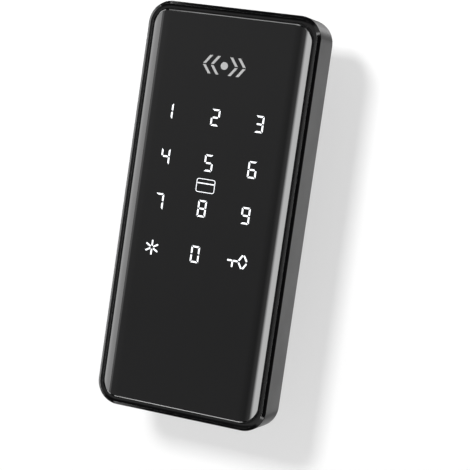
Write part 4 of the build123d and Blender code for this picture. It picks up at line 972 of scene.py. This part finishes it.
def copy_tree():
    """A tree that puts a piece on every point, turned by the point's turn, and gives it a finish."""
    tree = bpy.data.node_groups.new("copies on points", "GeometryNodeTree")
    sockets = {}
    for label, kind in TREE_INPUTS.items():
        sockets[label] = tree.interface.new_socket(
            name=label, in_out="INPUT", socket_type="NodeSocket" + kind).identifier
    tree.interface.new_socket(name="Copies", in_out="OUTPUT", socket_type="NodeSocketGeometry")
    given = add(tree, "NodeGroupInput").outputs
    piece = add(tree, "GeometryNodeObjectInfo", {"Object": given["Piece"]})
    turn = add(tree, "GeometryNodeInputNamedAttribute", {"Name": "turn"}, data_type="FLOAT_VECTOR")
    rotation = add(tree, "FunctionNodeEulerToRotation", {0: turn.outputs[0]})
    least = math(tree, "SUBTRACT", 1.0, given["Spread"])
    chance = add(tree, "FunctionNodeRandomValue", {
        2: least, 3: 1.0, "Seed": given["Seed"]}, data_type="FLOAT")
    placed = add(tree, "GeometryNodeInstanceOnPoints", {
        "Points": given["Points"], "Instance": piece.outputs["Geometry"], "Rotation": rotation.outputs[0],
        "Scale": chance.outputs[1]})
    real = add(tree, "GeometryNodeRealizeInstances", {0: placed.outputs[0]})
    dressed = add(tree, "GeometryNodeSetMaterial", {"Geometry": real.outputs[0], "Material": given["Finish"]})
    add(tree, "NodeGroupOutput", {0: dressed.outputs[0]})
    return tree, sockets


COPY_TREE, COPY_INPUTS = copy_tree()


def copies(name, piece, places, material, spread=0.0, seed=7):
    """A plain mesh of copies at places of x, y, z in millimetres and a turn of three angles in degrees."""
    mesh = bpy.data.meshes.new(name + " points")
    mesh.from_pydata([[value * MM for value in place[:3]] for place in places], [], [])
    turns = mesh.attributes.new("turn", "FLOAT_VECTOR", "POINT")
    for i, place in enumerate(places):
        turns.data[i].vector = [radians(angle) for angle in place[3:]]
    maker = in_scene(name + " maker", mesh)
    modifier = maker.modifiers.new("copies", "NODES")
    modifier.node_group = COPY_TREE
    for label, value in (("Piece", piece), ("Finish", material), ("Spread", spread), ("Seed", seed)):
        modifier[COPY_INPUTS[label]] = value
    made = bpy.data.meshes.new_from_object(maker.evaluated_get(bpy.context.evaluated_depsgraph_get()))
    made.name = name
    bpy.data.objects.remove(maker)
    return in_scene(name, made)


# %% [markdown]
# ## One leg and one small part
# A gull-wing leg leaves the chip's side, bends down and ends in a foot on the board. A small part is
# a dark block between two tinned ends. Both are bars with an outline in x and y, so they come from
# the same helper as the other bars; rounding them would cost faces that nobody sees.

# %% Leg, part and part end
LEG_OUTLINE = [
    (-0.1, -0.62), (0.22, -0.62), (0.34, -0.52), (0.48, -0.13), (0.85, -0.13), (0.85, 0.0), (0.4, 0.0),
    (0.22, -0.46), (0.16, -0.5), (-0.1, -0.5)]
PART_OUTLINE = [(-0.56, -0.46), (0.56, -0.46), (0.56, -0.02), (-0.56, -0.02)]
END_OUTLINE = [(-0.82, -0.44), (-0.76, -0.5), (-0.54, -0.5), (-0.54, 0.0), (-0.82, 0.0)]


def strip(name, outline, half_width):
    """A bar along z whose cross section is an outline of x and y in millimetres."""
    shape = bmesh.new()
    closed_bar(shape, [[(x, y, z) for x, y in outline] for z in (-half_width, half_width)])
    return finished(name, shape, MATERIALS["nickel"])


leg = strip("leg", LEG_OUTLINE, 0.13)
part_body = strip("part body", PART_OUTLINE, 0.38)
part_end = strip("part end", END_OUTLINE, 0.41)
print("leg, part and end")

# %% [markdown]
# ## Where the legs and parts stand
# A chip's legs stand along its sides, as many as fit at their pitch, so their places come from the
# chip's box. The small parts stand in rows on the free parts of both boards, listed as a layout
# would be: they could be scattered at random, but real parts stand in rows.

# %% Copies on the boards
LEG_PITCH, LEG_MARGIN, PART_SPREAD = 0.65, 0.6, 0.12
MAIN_FACE, TOUCH_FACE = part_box("main_board")[0][1] / MM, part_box("touch_board")[1][1] / MM
MAIN_COLUMNS, MAIN_ROWS = (-25.0, -22.6, -20.2, -17.8, -15.4, -13.0), (
    (14.2, 0), (16.6, 0), (19.0, 90), (21.6, 0), (39.2, 90))
TOUCH_COLUMNS, TOUCH_ROWS = (-22.4, -20.4, -7.6, -5.6), (42.0, 44.6, 47.2)
ALL_SIDES, LONG_SIDES = (0, 90, 180, 270), (90, 270)


def leg_places(chip, face, sides, tilt):
    """Where the legs of a chip stand, side by side along the sides that have them."""
    low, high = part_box(chip)
    centre = (Vector(low) + Vector(high)) / 2 / MM
    half = [(high[i] - low[i]) / 2 / MM for i in range(3)]
    places = []
    for turn in sides:
        outward = Vector((cos(radians(turn)), 0, -sin(radians(turn))))
        along = Vector((outward.z, 0, -outward.x))
        reach = abs(outward.x) * half[0] + abs(outward.z) * half[2]
        length = 2 * (abs(along.x) * half[0] + abs(along.z) * half[2])
        count = int((length - LEG_MARGIN) / LEG_PITCH)
        for k in range(count):
            spot = centre + outward * reach + along * ((k - (count - 1) / 2) * LEG_PITCH)
            places.append((spot.x, face, spot.z, tilt, turn, 0))
    return places


legs = leg_places("controller_chip", MAIN_FACE, ALL_SIDES, 0)
legs += leg_places("driver_chip", MAIN_FACE, LONG_SIDES, 0)
legs += leg_places("touch_chip", TOUCH_FACE, ALL_SIDES, 180)
small = [(x, MAIN_FACE, z, 0, turn, 0) for z, turn in MAIN_ROWS for x in MAIN_COLUMNS]
small += [(x, TOUCH_FACE, z, 180, 90, 0) for x in TOUCH_COLUMNS for z in TOUCH_ROWS]
ends = small + [(x, y, z, tilt, turn + 180, 0) for x, y, z, tilt, turn, _ in small]
put_on(copies("chip_legs", leg, legs, MATERIALS["nickel"]), "lock_body")
put_on(copies("small_parts", part_body, small, MATERIALS["chip"], PART_SPREAD), "lock_body")
put_on(copies("small_part_ends", part_end, ends, MATERIALS["nickel"]), "lock_body")
for piece in (leg, part_body, part_end):
    bpy.data.objects.remove(piece)
print("legs", len(legs), "small parts", len(small))
